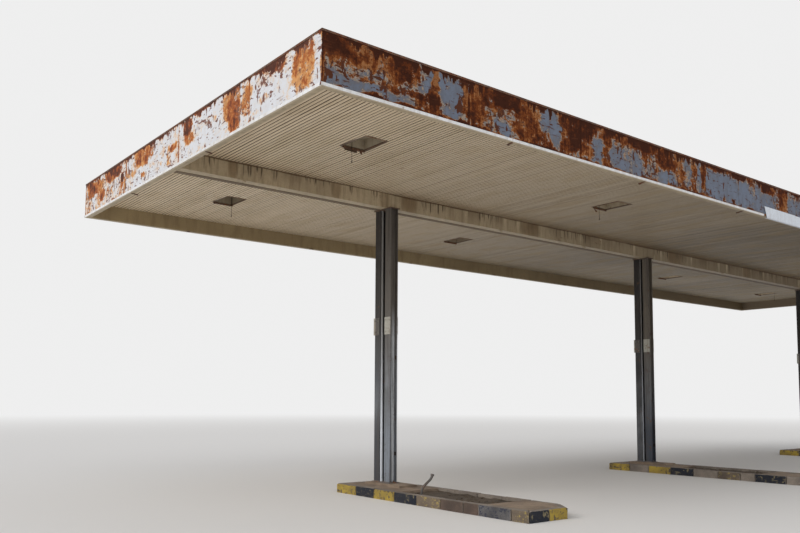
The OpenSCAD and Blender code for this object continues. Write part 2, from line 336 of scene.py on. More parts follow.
class Signal:
    """One output of a node, which adds, multiplies and compares as a number does."""

    def __init__(self, tree: "Tree", socket: bpy.types.NodeSocket) -> None:
        """Takes an output socket of a tree."""
        self.tree, self.socket = tree, socket

    def __add__(self, other: "Feed") -> "Signal":
        """This plus another."""
        return self.tree.math("ADD", self, other)

    def __sub__(self, other: "Feed") -> "Signal":
        """This less another."""
        return self.tree.math("SUBTRACT", self, other)

    def __rsub__(self, other: "Feed") -> "Signal":
        """A number less this."""
        return self.tree.math("SUBTRACT", other, self)

    def __mul__(self, other: "Feed") -> "Signal":
        """This times another."""
        return self.tree.math("MULTIPLY", self, other)

    def __truediv__(self, other: "Feed") -> "Signal":
        """This divided by another."""
        return self.tree.math("DIVIDE", self, other)

    def __pow__(self, other: "Feed") -> "Signal":
        """This to a power."""
        return self.tree.math("POWER", self, other)

    def __abs__(self) -> "Signal":
        """This without its sign."""
        return self.tree.math("ABSOLUTE", self)

    def __gt__(self, other: "Feed") -> "Signal":
        """One where this is greater."""
        return self.tree.math("GREATER_THAN", self, other)

    def __lt__(self, other: "Feed") -> "Signal":
        """One where this is less."""
        return self.tree.math("LESS_THAN", self, other)


Feed = float | Sequence[float] | Signal


class Tree:
    """Lays out one node tree and joins its sockets."""

    def __init__(self, nodes: bpy.types.NodeTree) -> None:
        """Takes an empty node tree."""
        self.nodes = nodes

    def feed(self, socket: bpy.types.NodeSocket, value: Feed) -> None:
        """Links or sets an input; a colour gets its full opacity.

        Args:
            socket: The input.
            value: A signal, a number, a vector or a colour.
        """
        if isinstance(value, Signal):
            self.nodes.links.new(value.socket, socket)
        else:
            socket.default_value = (*value, 1.0) if socket.type == "RGBA" else value

    def add(self, kind: str, feeds: dict[int | str, Feed], **settings: object) -> bpy.types.Node:
        """Adds a node, sets its options and feeds its inputs.

        Args:
            kind: Blender's name of the node type, without ShaderNode.
            feeds: Inputs by name or number.
            settings: The node's own options.

        Returns:
            The new node.
        """
        node = self.nodes.nodes.new(f"ShaderNode{kind}")
        for key, value in settings.items():
            setattr(node, key, value)
        for key, value in feeds.items():
            self.feed(node.inputs[key], value)
        return node

    def read(self, output: int | str, kind: str, feeds: dict[int | str, Feed], **settings: object) -> Signal:
        """Adds a node as add does, and reads one of its outputs."""
        return Signal(self, self.add(kind, feeds, **settings).outputs[output])

    def math(self, operation: str, a: Feed, b: Feed = 0.0) -> Signal:
        """One math step."""
        return self.read(0, "Math", {0: a, 1: b}, operation=operation)

    def vector(self, operation: str, a: Feed, b: Feed, c: Feed = (0, 0, 0)) -> Signal:
        """One step of vector math."""
        return self.read(0, "VectorMath", {0: a, 1: b, 2: c}, operation=operation)

    def parts(self, vector: Signal) -> tuple[Signal, ...]:
        """The three parts of a vector."""
        return tuple(Signal(self, part) for part in self.add("SeparateXYZ", {0: vector}).outputs)

    def span(self, value: Feed, low: Feed, high: Feed, to_low: Feed = 0.0, to_high: Feed = 1.0) -> Signal:
        """Maps a value from one range to another, smoothly and within its ends."""
        return self.read(0, "MapRange", {0: value, 1: low, 2: high, 3: to_low, 4: to_high},
                         interpolation_type="SMOOTHSTEP", clamp=True)

    def blend(self, amount: Feed, first: Feed, second: Feed) -> Signal:
        """Mixes two colours."""
        return self.read(2, "Mix", {0: amount, 6: first, 7: second}, data_type="RGBA")

    def noise(self, place: Feed, scale: Feed, detail: float, rough: float = 0.5, twist: float = 0.0,
              output: int = 0) -> Signal:
        """Soft noise in space, as a value or, from output 1, as a colour."""
        return self.read(output, "TexNoise", {"Vector": place, "Scale": scale, "Detail": detail,
                                              "Roughness": rough, "Distortion": twist})

    def wave(self, along: Feed, scale: float) -> Signal:
        """Soft noise along one axis."""
        return self.read(0, "TexNoise", {"W": along, "Scale": scale, "Detail": 1.0}, noise_dimensions="1D")

    def ramp(self, value: Feed, stops: Sequence[tuple[float, Rgb]]) -> Signal:
        """Colours a value.

        Args:
            value: The value.
            stops: Place and colour of each stop.

        Returns:
            The colour.
        """
        node = self.add("ValToRGB", {0: value})
        scale = node.color_ramp.elements
        scale.remove(scale[1])
        scale[0].position, scale[0].color = stops[0][0], (*stops[0][1], 1.0)
        for place, colour in stops[1:]:
            scale.new(place).color = (*colour, 1.0)
        return Signal(self, node.outputs[0])

    def group(self, group: bpy.types.NodeTree, *feeds: Feed) -> tuple[Signal, ...]:
        """Places a node group.

        Args:
            group: The group.
            feeds: Its inputs in their order.

        Returns:
            Its outputs in their order.
        """
        node = self.add("Group", dict(enumerate(feeds)), node_tree=group)
        return tuple(Signal(self, output) for output in node.outputs)


def bare_tree(owner: bpy.types.Material | bpy.types.World) -> Tree:
    """Gives a material or a world an empty node tree.

    Args:
        owner: The material or world.

    Returns:
        Its tree.
    """
    owner.use_nodes = True
    owner.node_tree.nodes.clear()
    return Tree(owner.node_tree)


class Effect(Tree):
    """A node group for an effect that several finishes share, with named inputs and outputs."""

    def __init__(self, name: str, vectors: str, values: str, gives: str) -> None:
        """Starts the group.

        Args:
            name: Name of the group.
            vectors: Names of its vector inputs, which come first.
            values: Names of its number inputs.
            gives: Names of its number outputs.
        """
        super().__init__(bpy.data.node_groups.new(name, "ShaderNodeTree"))
        for names, way, kind in ((vectors, "INPUT", "NodeSocketVector"), (values, "INPUT", "NodeSocketFloat"),
                                 (gives, "OUTPUT", "NodeSocketFloat")):
            for label in names.split():
                self.nodes.interface.new_socket(name=label, in_out=way, socket_type=kind)
        entry = self.nodes.nodes.new("NodeGroupInput")
        self.take = [Signal(self, entry.outputs[label]) for label in f"{vectors} {values}".split()]
        self.leave = self.nodes.nodes.new("NodeGroupOutput")

    def give(self, **results: Signal) -> bpy.types.NodeTree:
        """Links the outputs.

        Args:
            results: What each output gives, by its name.

        Returns:
            The finished group.
        """
        for label, result in results.items():
            self.feed(self.leave.inputs[label], result)
        return self.nodes


@cache
def blot() -> bpy.types.NodeTree:
    """One soft-edged oval patch at a place on a flat face, with how deep its rust sits.

    Returns:
        The group.
    """
    tree = Effect("Blot", "", "Along Up Centre Height Reach Rise Strength Depth Field Deep", "Field Deep")
    along, up, centre, height, reach, rise, strength, depth, field, deep = tree.take
    power = 2.6
    far = abs((along - centre) / reach) ** power + abs((up - height) / rise) ** power
    near = tree.span(far, 0.25, 1.8, 1.0, 0.0)
    return tree.give(Field=near * strength + field, Deep=near * depth + deep)


@cache
def peel() -> bpy.types.NodeTree:
    """Paint that breaks up where a field passes a half, with small upright chips beside it.

    Returns:
        The group.
    """
    tree = Effect("Peel", "Place", "Field Scale Limit", "Depth Chips Grain")
    place, field, scale, limit = tree.take
    total = field
    for step, swing, detail, twist in ((1.0, 1.0, 4.0, 0.6), (5.5, 0.95, 6.0, 0.3), (27.0, 0.4, 4.0, 0.0)):
        noise = tree.noise(place, scale * step, detail, 0.6, twist)
        total = (noise - 0.5) * swing + total
    found = [tree.noise(tree.vector("MULTIPLY", place, squeeze), size, 3.0) + field * 0.28
             for squeeze, size in (((1.0, 1.0, 0.45), 15.0), ((0.5, 0.5, 1.25), 19.0))]
    chips = tree.span(tree.math("MAXIMUM", *found) - limit, 0.0, 0.02)
    return tree.give(Depth=total, Chips=chips, Grain=noise)


@cache
def runs() -> bpy.types.NodeTree:
    """Long runs and wipes, stretched one way.

    Returns:
        The group.
    """
    tree = Effect("Runs", "Place Stretch", "Scale Amount", "Mask")
    place, stretch, scale, amount = tree.take
    noise = tree.noise(tree.vector("MULTIPLY", place, stretch), scale, 5.0, 0.6)
    return tree.give(Mask=tree.span(noise, 0.44, 0.68) * amount)


@cache
def cloud() -> bpy.types.NodeTree:
    """Broad drift of tone and fine grain of dirt.

    Returns:
        The group.
    """
    tree = Effect("Cloud", "Place", "Broad Fine", "Drift Grain")
    place, *scales = tree.take
    drift, grain = (tree.span(tree.noise(place, scale, 4.0, 0.58), low, 1.0 - low)
                    for scale, low in zip(scales, (0.3, 0.25)))
    return tree.give(Drift=drift, Grain=grain)


# ---------------------------------------------------------------- finishes


class Patch(NamedTuple):
    """A listed patch: its middle, its reach, how strong it is and how deep its rust sits."""

    along: float
    up: float
    reach: float
    rise: float
    strength: float
    deep: float = 0.0


class Layers(NamedTuple):
    """What a finish feeds its shader: colour, roughness, and a height with the depth of its bump."""

    colour: Signal
    rough: Feed
    height: Signal
    depth: float


@dataclass(frozen=True)
class Finish:
    """What every finish shares: a material with one shader, laid out on the place of each point."""

    name: str
    roughness: float
    _: KW_ONLY
    metallic: float = 0.0
    specular: float = 0.35

    def lay(self, tree: Tree, place: Signal) -> Layers:
        """Lays the finish out.

        Args:
            tree: The material's tree.
            place: The place of each point.

        Returns:
            What feeds the shader.
        """
        raise NotImplementedError

    def make(self) -> bpy.types.Material:
        """Builds the material round its shader.

        Returns:
            The material.
        """
        material = bpy.data.materials.new(self.name)
        tree = bare_tree(material)
        colour, rough, height, depth = self.lay(tree, tree.read("Object", "TexCoord", {}))
        bump = tree.read(0, "Bump", {"Strength": 1.0, "Distance": depth, "Height": height})
        shader = tree.read(0, "BsdfPrincipled", {
            "Base Color": colour, "Roughness": rough, "Metallic": self.metallic,
            "Specular IOR Level": self.specular, "Normal": bump})
        tree.add("OutputMaterial", {"Surface": shader})
        return material


@dataclass(frozen=True)
class WornPaint(Finish):
    """Paint on steel, faded, streaked and broken up by rust; it may change with height or along the roof, as painted
    shade on most pieces.
    """

    paint: Rgb
    faded: Rgb
    bright_rust: Rgb = (0.22, 0.08, 0.03)
    dark_rust: Rgb = (0.06, 0.025, 0.018)
    stain: Rgb = (0.20, 0.12, 0.07)
    rusted: float = 0.2
    rust_scale: float = 2.2
    streaks: float = 0.3
    streak_way: Trio = (6.0, 6.0, 0.7)
    ripple: float = 0.7
    # Colours blended in towards the top, towards the right end of the roof and at the foot: painted shade on the posts,
    # beams, girders and slat gaps.
    top_shading: Rgb | None = None
    far: Rgb | None = None
    foot: Rgb | None = None

    def coat(self, tree: Tree, place: Signal, drift: Signal) -> Signal:
        """The paint's colour where it is whole.

        Args:
            tree: The material's tree.
            place: The place of each point.
            drift: Broad change of tone.

        Returns:
            The colour.
        """
        colour = tree.blend(drift, self.paint, self.faded)
        x, _, up = tree.parts(place)
        # Painted shade on most pieces: colour changes up the height, near the foot and towards the right end of the
        # roof.
        if self.top_shading:
            colour = tree.blend(tree.span(up, 1.2, 3.4), colour, self.top_shading)
        if self.foot:
            colour = tree.blend(tree.span(up, 0.9, 1.5, 0.9, 0.0), colour, self.foot)
        if self.far:
            colour = tree.blend(tree.span(x, -ROOF_HALF, ROOF_HALF), colour, self.far)
        return colour

    def lay(self, tree: Tree, place: Signal) -> Layers:
        """Lays rust and stains over the coat; see Finish.lay."""
        drift, dirt = tree.group(cloud(), place, self.ripple, 38.0)
        streaks = tree.group(runs(), place, self.streak_way, 2.0, self.streaks)[0]
        depth, _, grain = tree.group(peel(), place, self.rusted, self.rust_scale)
        mask = tree.span(depth, 0.48, 0.52)
        coat = self.coat(tree, place, drift)
        for amount in (streaks, tree.span(depth, 0.34, 0.5, 0.0, 0.55), tree.span(dirt, 0.0, 1.0, 0.0, 0.14)):
            coat = tree.blend(amount, coat, self.stain)
        rust = tree.blend(tree.span(depth, 0.5, 0.78), self.bright_rust, self.dark_rust)
        return Layers(tree.blend(mask, coat, rust), tree.span(mask, 0.0, 1.0, self.roughness, 0.92),
                      tree.noise(place, 1.7, 2.0) - mask * grain * 0.3, 0.003)


@dataclass(frozen=True)
class BeamPaint(WornPaint):
    """Paint on the centre beam's cladding: short lengths of their own tone, brown along both edges."""

    length: float = 0.34
    edge: Rgb = (0.10, 0.055, 0.025)
    brown: Rgb = (0.21, 0.135, 0.065)
    dark: Rgb = (0.085, 0.062, 0.040)
    washed: Rgb = (0.66, 0.55, 0.37)
    low: float = 5.020
    high: float = 5.272
    stains: tuple[Span, ...] = ((-11.05, 0.08), (-9.15, 0.10), (-8.12, 0.11), (-7.57, 0.18),
                                (-4.35, 0.30), (0.9, 0.3), (4.4, 0.25), (8.9, 0.35))
    groups: tuple[Span, ...] = ((-11.58, 0.17), (-10.67, 0.22), (-10.0, 0.14), (-9.4, 0.13),
                                (-8.8, 0.08), (-6.85, 0.18), (-5.55, 0.38), (-3.1, 0.3))

    def coat(self, tree: Tree, place: Signal, drift: Signal) -> Signal:
        """Adds each length's tone, the washed streaks, drips and brown edges; see WornPaint.coat."""
        colour = super().coat(tree, place, drift)
        x, _, up = tree.parts(place)
        pick = tree.read("Value", "TexWhiteNoise", {"W": tree.math("FLOOR", x / self.length)}, noise_dimensions="1D")
        tone = tree.span(pick, 0.45, 1.0, 0.0, 0.75) * tree.span(x, -9.0, -4.5, 0.4, 1.0)
        colour = tree.blend(tone * tree.span(up, self.low, self.high, 0.35, 1.0), colour, self.stain)
        light = tree.span(tree.wave(x, 4.6), 0.60, 0.66, 0.0, 0.8) * tree.span(x, -8.0, -5.0)
        colour = tree.blend(light * tree.span(up, self.low, self.high, 0.3, 1.0), colour, self.washed)
        marks = self.placed(tree, x, up, self.stains, 0.75)
        colour = tree.blend(marks * tree.span(drift, 0.0, 1.0, 0.6, 1.0), colour, self.brown)
        thin, many, long = (tree.wave(x, scale) for scale in (26.0, 1.3, 11.0))
        reach = self.high - 0.02 - tree.span(long, 0.3, 0.75, 0.02, 0.22)
        where = tree.math("MAXIMUM", tree.span(many, 0.48, 0.60), self.placed(tree, x, up, self.groups, 1.0))
        drips = tree.span(thin, 0.50, 0.58) * where * tree.span(up, reach, reach + 0.09, 0.0, 0.95)
        colour = tree.blend(drips, colour, self.dark)
        top = tree.span(drift * 0.02 + up, self.high - 0.01, self.high + 0.008, 0.0, 0.85)
        return tree.blend(top, colour, self.edge)

    @staticmethod
    def placed(tree: Tree, along: Signal, up: Signal, places: Sequence[Span], strength: float) -> Feed:
        """Adds up marks that are listed along the beam.

        Args:
            tree: The material's tree.
            along: Place along the beam.
            up: Height.
            places: Middle and half length of each mark.
            strength: How strong each mark is.

        Returns:
            The amount at each point.
        """
        total = 0.0
        for middle, reach in places:
            total = tree.group(blot(), along, up, middle, 5.20, reach, 0.19, strength, 0.0, total, 0.0)[0]
        return total


@dataclass(frozen=True)
class LightAndShadePaint(WornPaint):
    """Paint with a second colour, a painted highlight or painted shade, laid between two places along one axis on the
    faces that look one way.
    """

    # The second colour: a painted highlight on the left front post, painted shade on the batten plates and on the
    # trim's underside.
    other: Rgb = (0.1, 0.1, 0.1)
    axis: int = 1
    between: Span = (0.0, 1.0)
    facing: Trio = (-1.0, 0.0, 0.0)
    fade: Span = (9.0, 10.0)

    def coat(self, tree: Tree, place: Signal, drift: Signal) -> Signal:
        """Lays the second colour, the painted highlight or shade, over the shared coat; see WornPaint.coat."""
        colour = super().coat(tree, place, drift)
        parts = tree.parts(place)
        low, high = self.between
        amount = (tree.span(parts[self.axis], low - 0.004, low + 0.004)
                  * tree.span(parts[self.axis], high - 0.001, high + 0.001, 1.0, 0.0))
        normal = tree.read("Normal", "NewGeometry", {})
        way = tree.read("Value", "VectorMath", {0: normal, 1: self.facing}, operation="DOT_PRODUCT")
        return tree.blend(amount * (way > 0.7) * tree.span(parts[2], *self.fade, 1.0, 0.0), colour, self.other)


@dataclass(frozen=True)
class FramePaint(WornPaint):
    """Paint on the strips round the light openings: dark, and pale with painted light on the near side."""

    # Colour of the painted light on the near strips.
    pale: Rgb = (0.27, 0.155, 0.09)
    half: float = 0.269

    def coat(self, tree: Tree, place: Signal, drift: Signal) -> Signal:
        """Paints light on the strips on the near side of both rows, which turn pale; see WornPaint.coat."""
        _, y, _ = tree.parts(place)
        near = (y < -LIGHT_Y - self.half) + (y < LIGHT_Y - self.half) * (y > 0.0)
        return tree.blend(near, super().coat(tree, place, drift), self.pale)


@dataclass(frozen=True)
class FasciaPaint(Finish):
    """Fascia sheet whose paint has broken up: coat, pale rim, orange edge and dark heart of each patch."""

    face: Face
    coat: tuple[tuple[float, Rgb], ...]
    rust: tuple[tuple[float, Rgb], ...]
    wiped: Rgb
    chip: Rgb
    base: float
    scale: float
    drip: float
    joint_start: float
    corner: float
    limit: float
    scratch: float
    patches: tuple[Patch, ...]
    foot: float = 0.0
    tone: float = 0.3
    lean: Trio = (0.0, 1.0, 0.0)

    def field(self, tree: Tree, place: Signal) -> tuple[Signal, Signal]:
        """How likely rust is at each point and how deep it sits.

        Args:
            tree: The material's tree.
            place: The place of each point.

        Returns:
            The field, where rust shows past about a half, and the depth.
        """
        shift = tree.vector("SUBTRACT", tree.noise(place, 3.4, 4.0, 0.6, output=1), (0.5, 0.5, 0.5))
        warped = tree.vector("MULTIPLY_ADD", shift, (0.30, 0.30, 0.22), place)
        along = tree.parts(place)[self.face.value]
        bent = tree.parts(warped)
        edge = FASCIA_TOP - 0.052 - tree.group(runs(), place, (5.0, 5.0, 0.2), 2.4, self.drip)[0]
        band = tree.span(bent[2], edge, edge + 0.035, 0.0, 0.45)
        beside = tree.math("PINGPONG", along - self.joint_start, PANEL / 2)
        total = (band + tree.span(along, *self.lean[:2], self.base, self.base + self.lean[2])
                 + tree.span(bent[2], CLEAR + 0.040, CLEAR + 0.072, self.foot, 0.0)
                 + tree.span(beside, 0.004, 0.028, 0.24, 0.0)
                 + tree.span(abs(along), self.corner - 0.05, self.corner - 0.012, 0.0, 0.3))
        deep = band * 0.8
        for patch in self.patches:
            total, deep = tree.group(blot(), bent[self.face.value], bent[2], patch.along, patch.up, patch.reach,
                                     patch.rise, patch.strength, patch.deep, total, deep)
        return total, deep

    def lay(self, tree: Tree, place: Signal) -> Layers:
        """Lays rust, chips and scratches over the coat; see Finish.lay."""
        total, deep = self.field(tree, place)
        depth, chips, grain = tree.group(peel(), place, total, self.scale, self.limit)
        drift, dirt = tree.group(cloud(), place, 2.6, 34.0)
        wipes, streaks, flat = (tree.group(runs(), place, *values)[0] for values in (
            ((3.0, 3.0, 1.1), 2.6, 0.6), ((9.0, 9.0, 0.7), 2.0, 0.16), ((1.7, 1.7, 10.0), 2.3, self.scratch)))
        coat = tree.blend(wipes, tree.ramp(depth, self.coat), self.wiped)
        tone = (drift - 0.5) * self.tone + depth + (dirt - 0.5) * 0.14 - streaks
        mask = tree.span(depth, 0.49, 0.512)
        colour = tree.blend(mask, coat, tree.ramp(tone + deep, self.rust))
        for amount in (chips * tree.span(mask, 0.0, 1.0, 1.0, 0.2), tree.span(flat, 0.35, 0.55, 0.0, 0.8)):
            colour = tree.blend(amount, colour, self.chip)
        return Layers(colour, tree.span(mask, 0.0, 1.0, self.roughness, 0.94),
                      tree.noise(place, 1.7, 2.0) - mask * (grain + 0.3) * 0.35, 0.004)


@dataclass(frozen=True)
class SlatPaint(Finish):
    """Baked paint on the ceiling slats: each slat a little off its neighbour, with painted shade that darkens and
    browns it towards the right end of the roof.
    """

    paint: Rgb = (0.82, 0.665, 0.465)
    dirty: Rgb = (0.48, 0.38, 0.25)
    # Painted shade: the colours towards the right end of the front bay and of the back bay.
    far: Rgb = (0.140, 0.112, 0.078)
    far_back_shade: Rgb = (0.180, 0.147, 0.103)
    rusty: Rgb = (0.26, 0.14, 0.06)
    rim: Rgb = (0.075, 0.040, 0.022)

    def lay(self, tree: Tree, place: Signal) -> Layers:
        """Lays painted shade, dirt and rust over each slat's tone; see Finish.lay."""
        x, y, _ = tree.parts(place)
        side = y > 0.0
        number = tree.read(0, "CombineXYZ", {0: tree.math("FLOOR", x / SLAT_PITCH), 1: side})
        pick = tree.read(0, "TexWhiteNoise", {"Vector": number}, noise_dimensions="3D")
        drift, grain = tree.group(cloud(), place, 0.35, 30.0)
        wipes = tree.group(runs(), place, (2.5, 0.7, 1.0), 1.3, 0.3)[0]
        # Painted shade: darker towards the right end of the roof, less so over the back bay.
        far = tree.blend(side, self.far, self.far_back_shade)
        coat = tree.blend(tree.span(x, -ROOF_HALF - 1.0, 1.0), self.paint, far)
        for amount in (tree.span(pick, 0.0, 1.0, 0.0, 0.22), drift * 0.3, wipes):
            coat = tree.blend(amount, coat, self.dirty)
        depth = tree.group(peel(), place, 0.14, 1.1)[0]
        # Browner within about half a metre of the centre beam, and where the rust field runs deep.
        for amount in (tree.span(abs(y), 0.15, 0.55, 0.45, 0.0) * drift, tree.span(depth, 0.32, 0.6, 0.0, 0.7)):
            coat = tree.blend(amount, coat, self.rusty)
        coat = tree.blend(self.ring(tree, x, y, drift), coat, self.rim)
        return Layers(coat, tree.span(wipes, 0.0, 0.3, self.roughness, 0.8), grain, 0.0004)

    @staticmethod
    def ring(tree: Tree, x: Signal, y: Signal, drift: Signal) -> Signal:
        """Amount of rust on the slats just round each light opening.

        Args:
            tree: The material's tree.
            x: Place along the roof.
            y: Place across it.
            drift: Broad change that breaks the ring up.

        Returns:
            The amount at each point.
        """
        beside = tree.math("MINIMUM", *(abs(abs(x) - middle) for middle in LIGHT_X[2:])) - LIGHT_HALF[0]
        gap = tree.math("MAXIMUM", beside, abs(abs(y) - LIGHT_Y) - LIGHT_HALF[1])
        width = tree.span(drift, 0.3, 0.7, 0.012, 0.045)
        return tree.span(gap, width, width + 0.02, 0.9, 0.0)


@dataclass(frozen=True)
class Zinc(Finish):
    """Dull zinc coat with spangle, dust and a few brown runs, and painted shade towards the top where given."""

    coat: Rgb = (0.45, 0.46, 0.47)
    dull: Rgb = (0.28, 0.27, 0.26)
    brown: Rgb = (0.22, 0.12, 0.07)
    dark: Rgb = (0.07, 0.035, 0.025)
    rusted: float = 0.1
    # Painted shade towards the top.
    top_shading: Rgb | None = None

    def lay(self, tree: Tree, place: Signal) -> Layers:
        """Lays spangle and rust over the coat; see Finish.lay."""
        drift, grain = tree.group(cloud(), place, 1.4, 24.0)
        flake = tree.read("Distance", "TexVoronoi", {"Vector": place, "Scale": 60.0})
        depth = tree.group(peel(), place, self.rusted, 1.6)[0]
        coat = tree.blend(drift, self.coat, self.dull)
        # Painted shade: a colour blended in towards the top.
        if self.top_shading:
            coat = tree.blend(tree.span(tree.parts(place)[2], 1.2, 3.6), coat, self.top_shading)
        coat = tree.blend(flake * 0.18, coat, self.dull)
        rust = tree.blend(tree.span(depth, 0.5, 0.75), self.brown, self.dark)
        return Layers(tree.blend(tree.span(depth, 0.42, 0.54), coat, rust),
                      tree.span(grain, 0.0, 1.0, self.roughness, self.roughness + 0.25), grain, 0.0006)


@dataclass(frozen=True)
class Stone(Finish):
    """Cast concrete or kerb stone, bare or under a worn coat of paint."""

    bare: Rgb = (0.21, 0.175, 0.14)
    dark: Rgb = (0.10, 0.08, 0.065)
    coat: Rgb = (0.5, 0.36, 0.10)
    painted: float = 0.0
    limit: float = 0.72

    def lay(self, tree: Tree, place: Signal) -> Layers:
        """Lays dirt and grit over the stone, and worn paint over both; see Finish.lay."""
        drift, dirt = tree.group(cloud(), place, 3.2, 55.0)
        grit = tree.read("Distance", "TexVoronoi", {"Vector": place, "Scale": 95.0})
        colour = tree.blend(drift, self.bare, self.dark)
        for amount in (tree.span(dirt, 0.0, 1.0, 0.0, 0.5), tree.span(grit, 0.05, 0.3, 0.35, 0.0)):
            colour = tree.blend(amount, colour, self.dark)
        if self.painted:
            depth, chips, _ = tree.group(peel(), place, 1.0 - self.painted, 8.0, self.limit)
            coat = tree.blend(tree.span(drift, 0.0, 1.0, 0.0, 0.4), self.coat, self.dark)
            coat = tree.blend(tree.span(depth, 0.36, 0.5, 0.0, 0.35), coat, self.bare)
            colour = tree.blend(tree.math("MAXIMUM", tree.span(depth, 0.47, 0.51), chips), coat, colour)
        return Layers(colour, self.roughness, grit * 0.5 + dirt, 0.005)


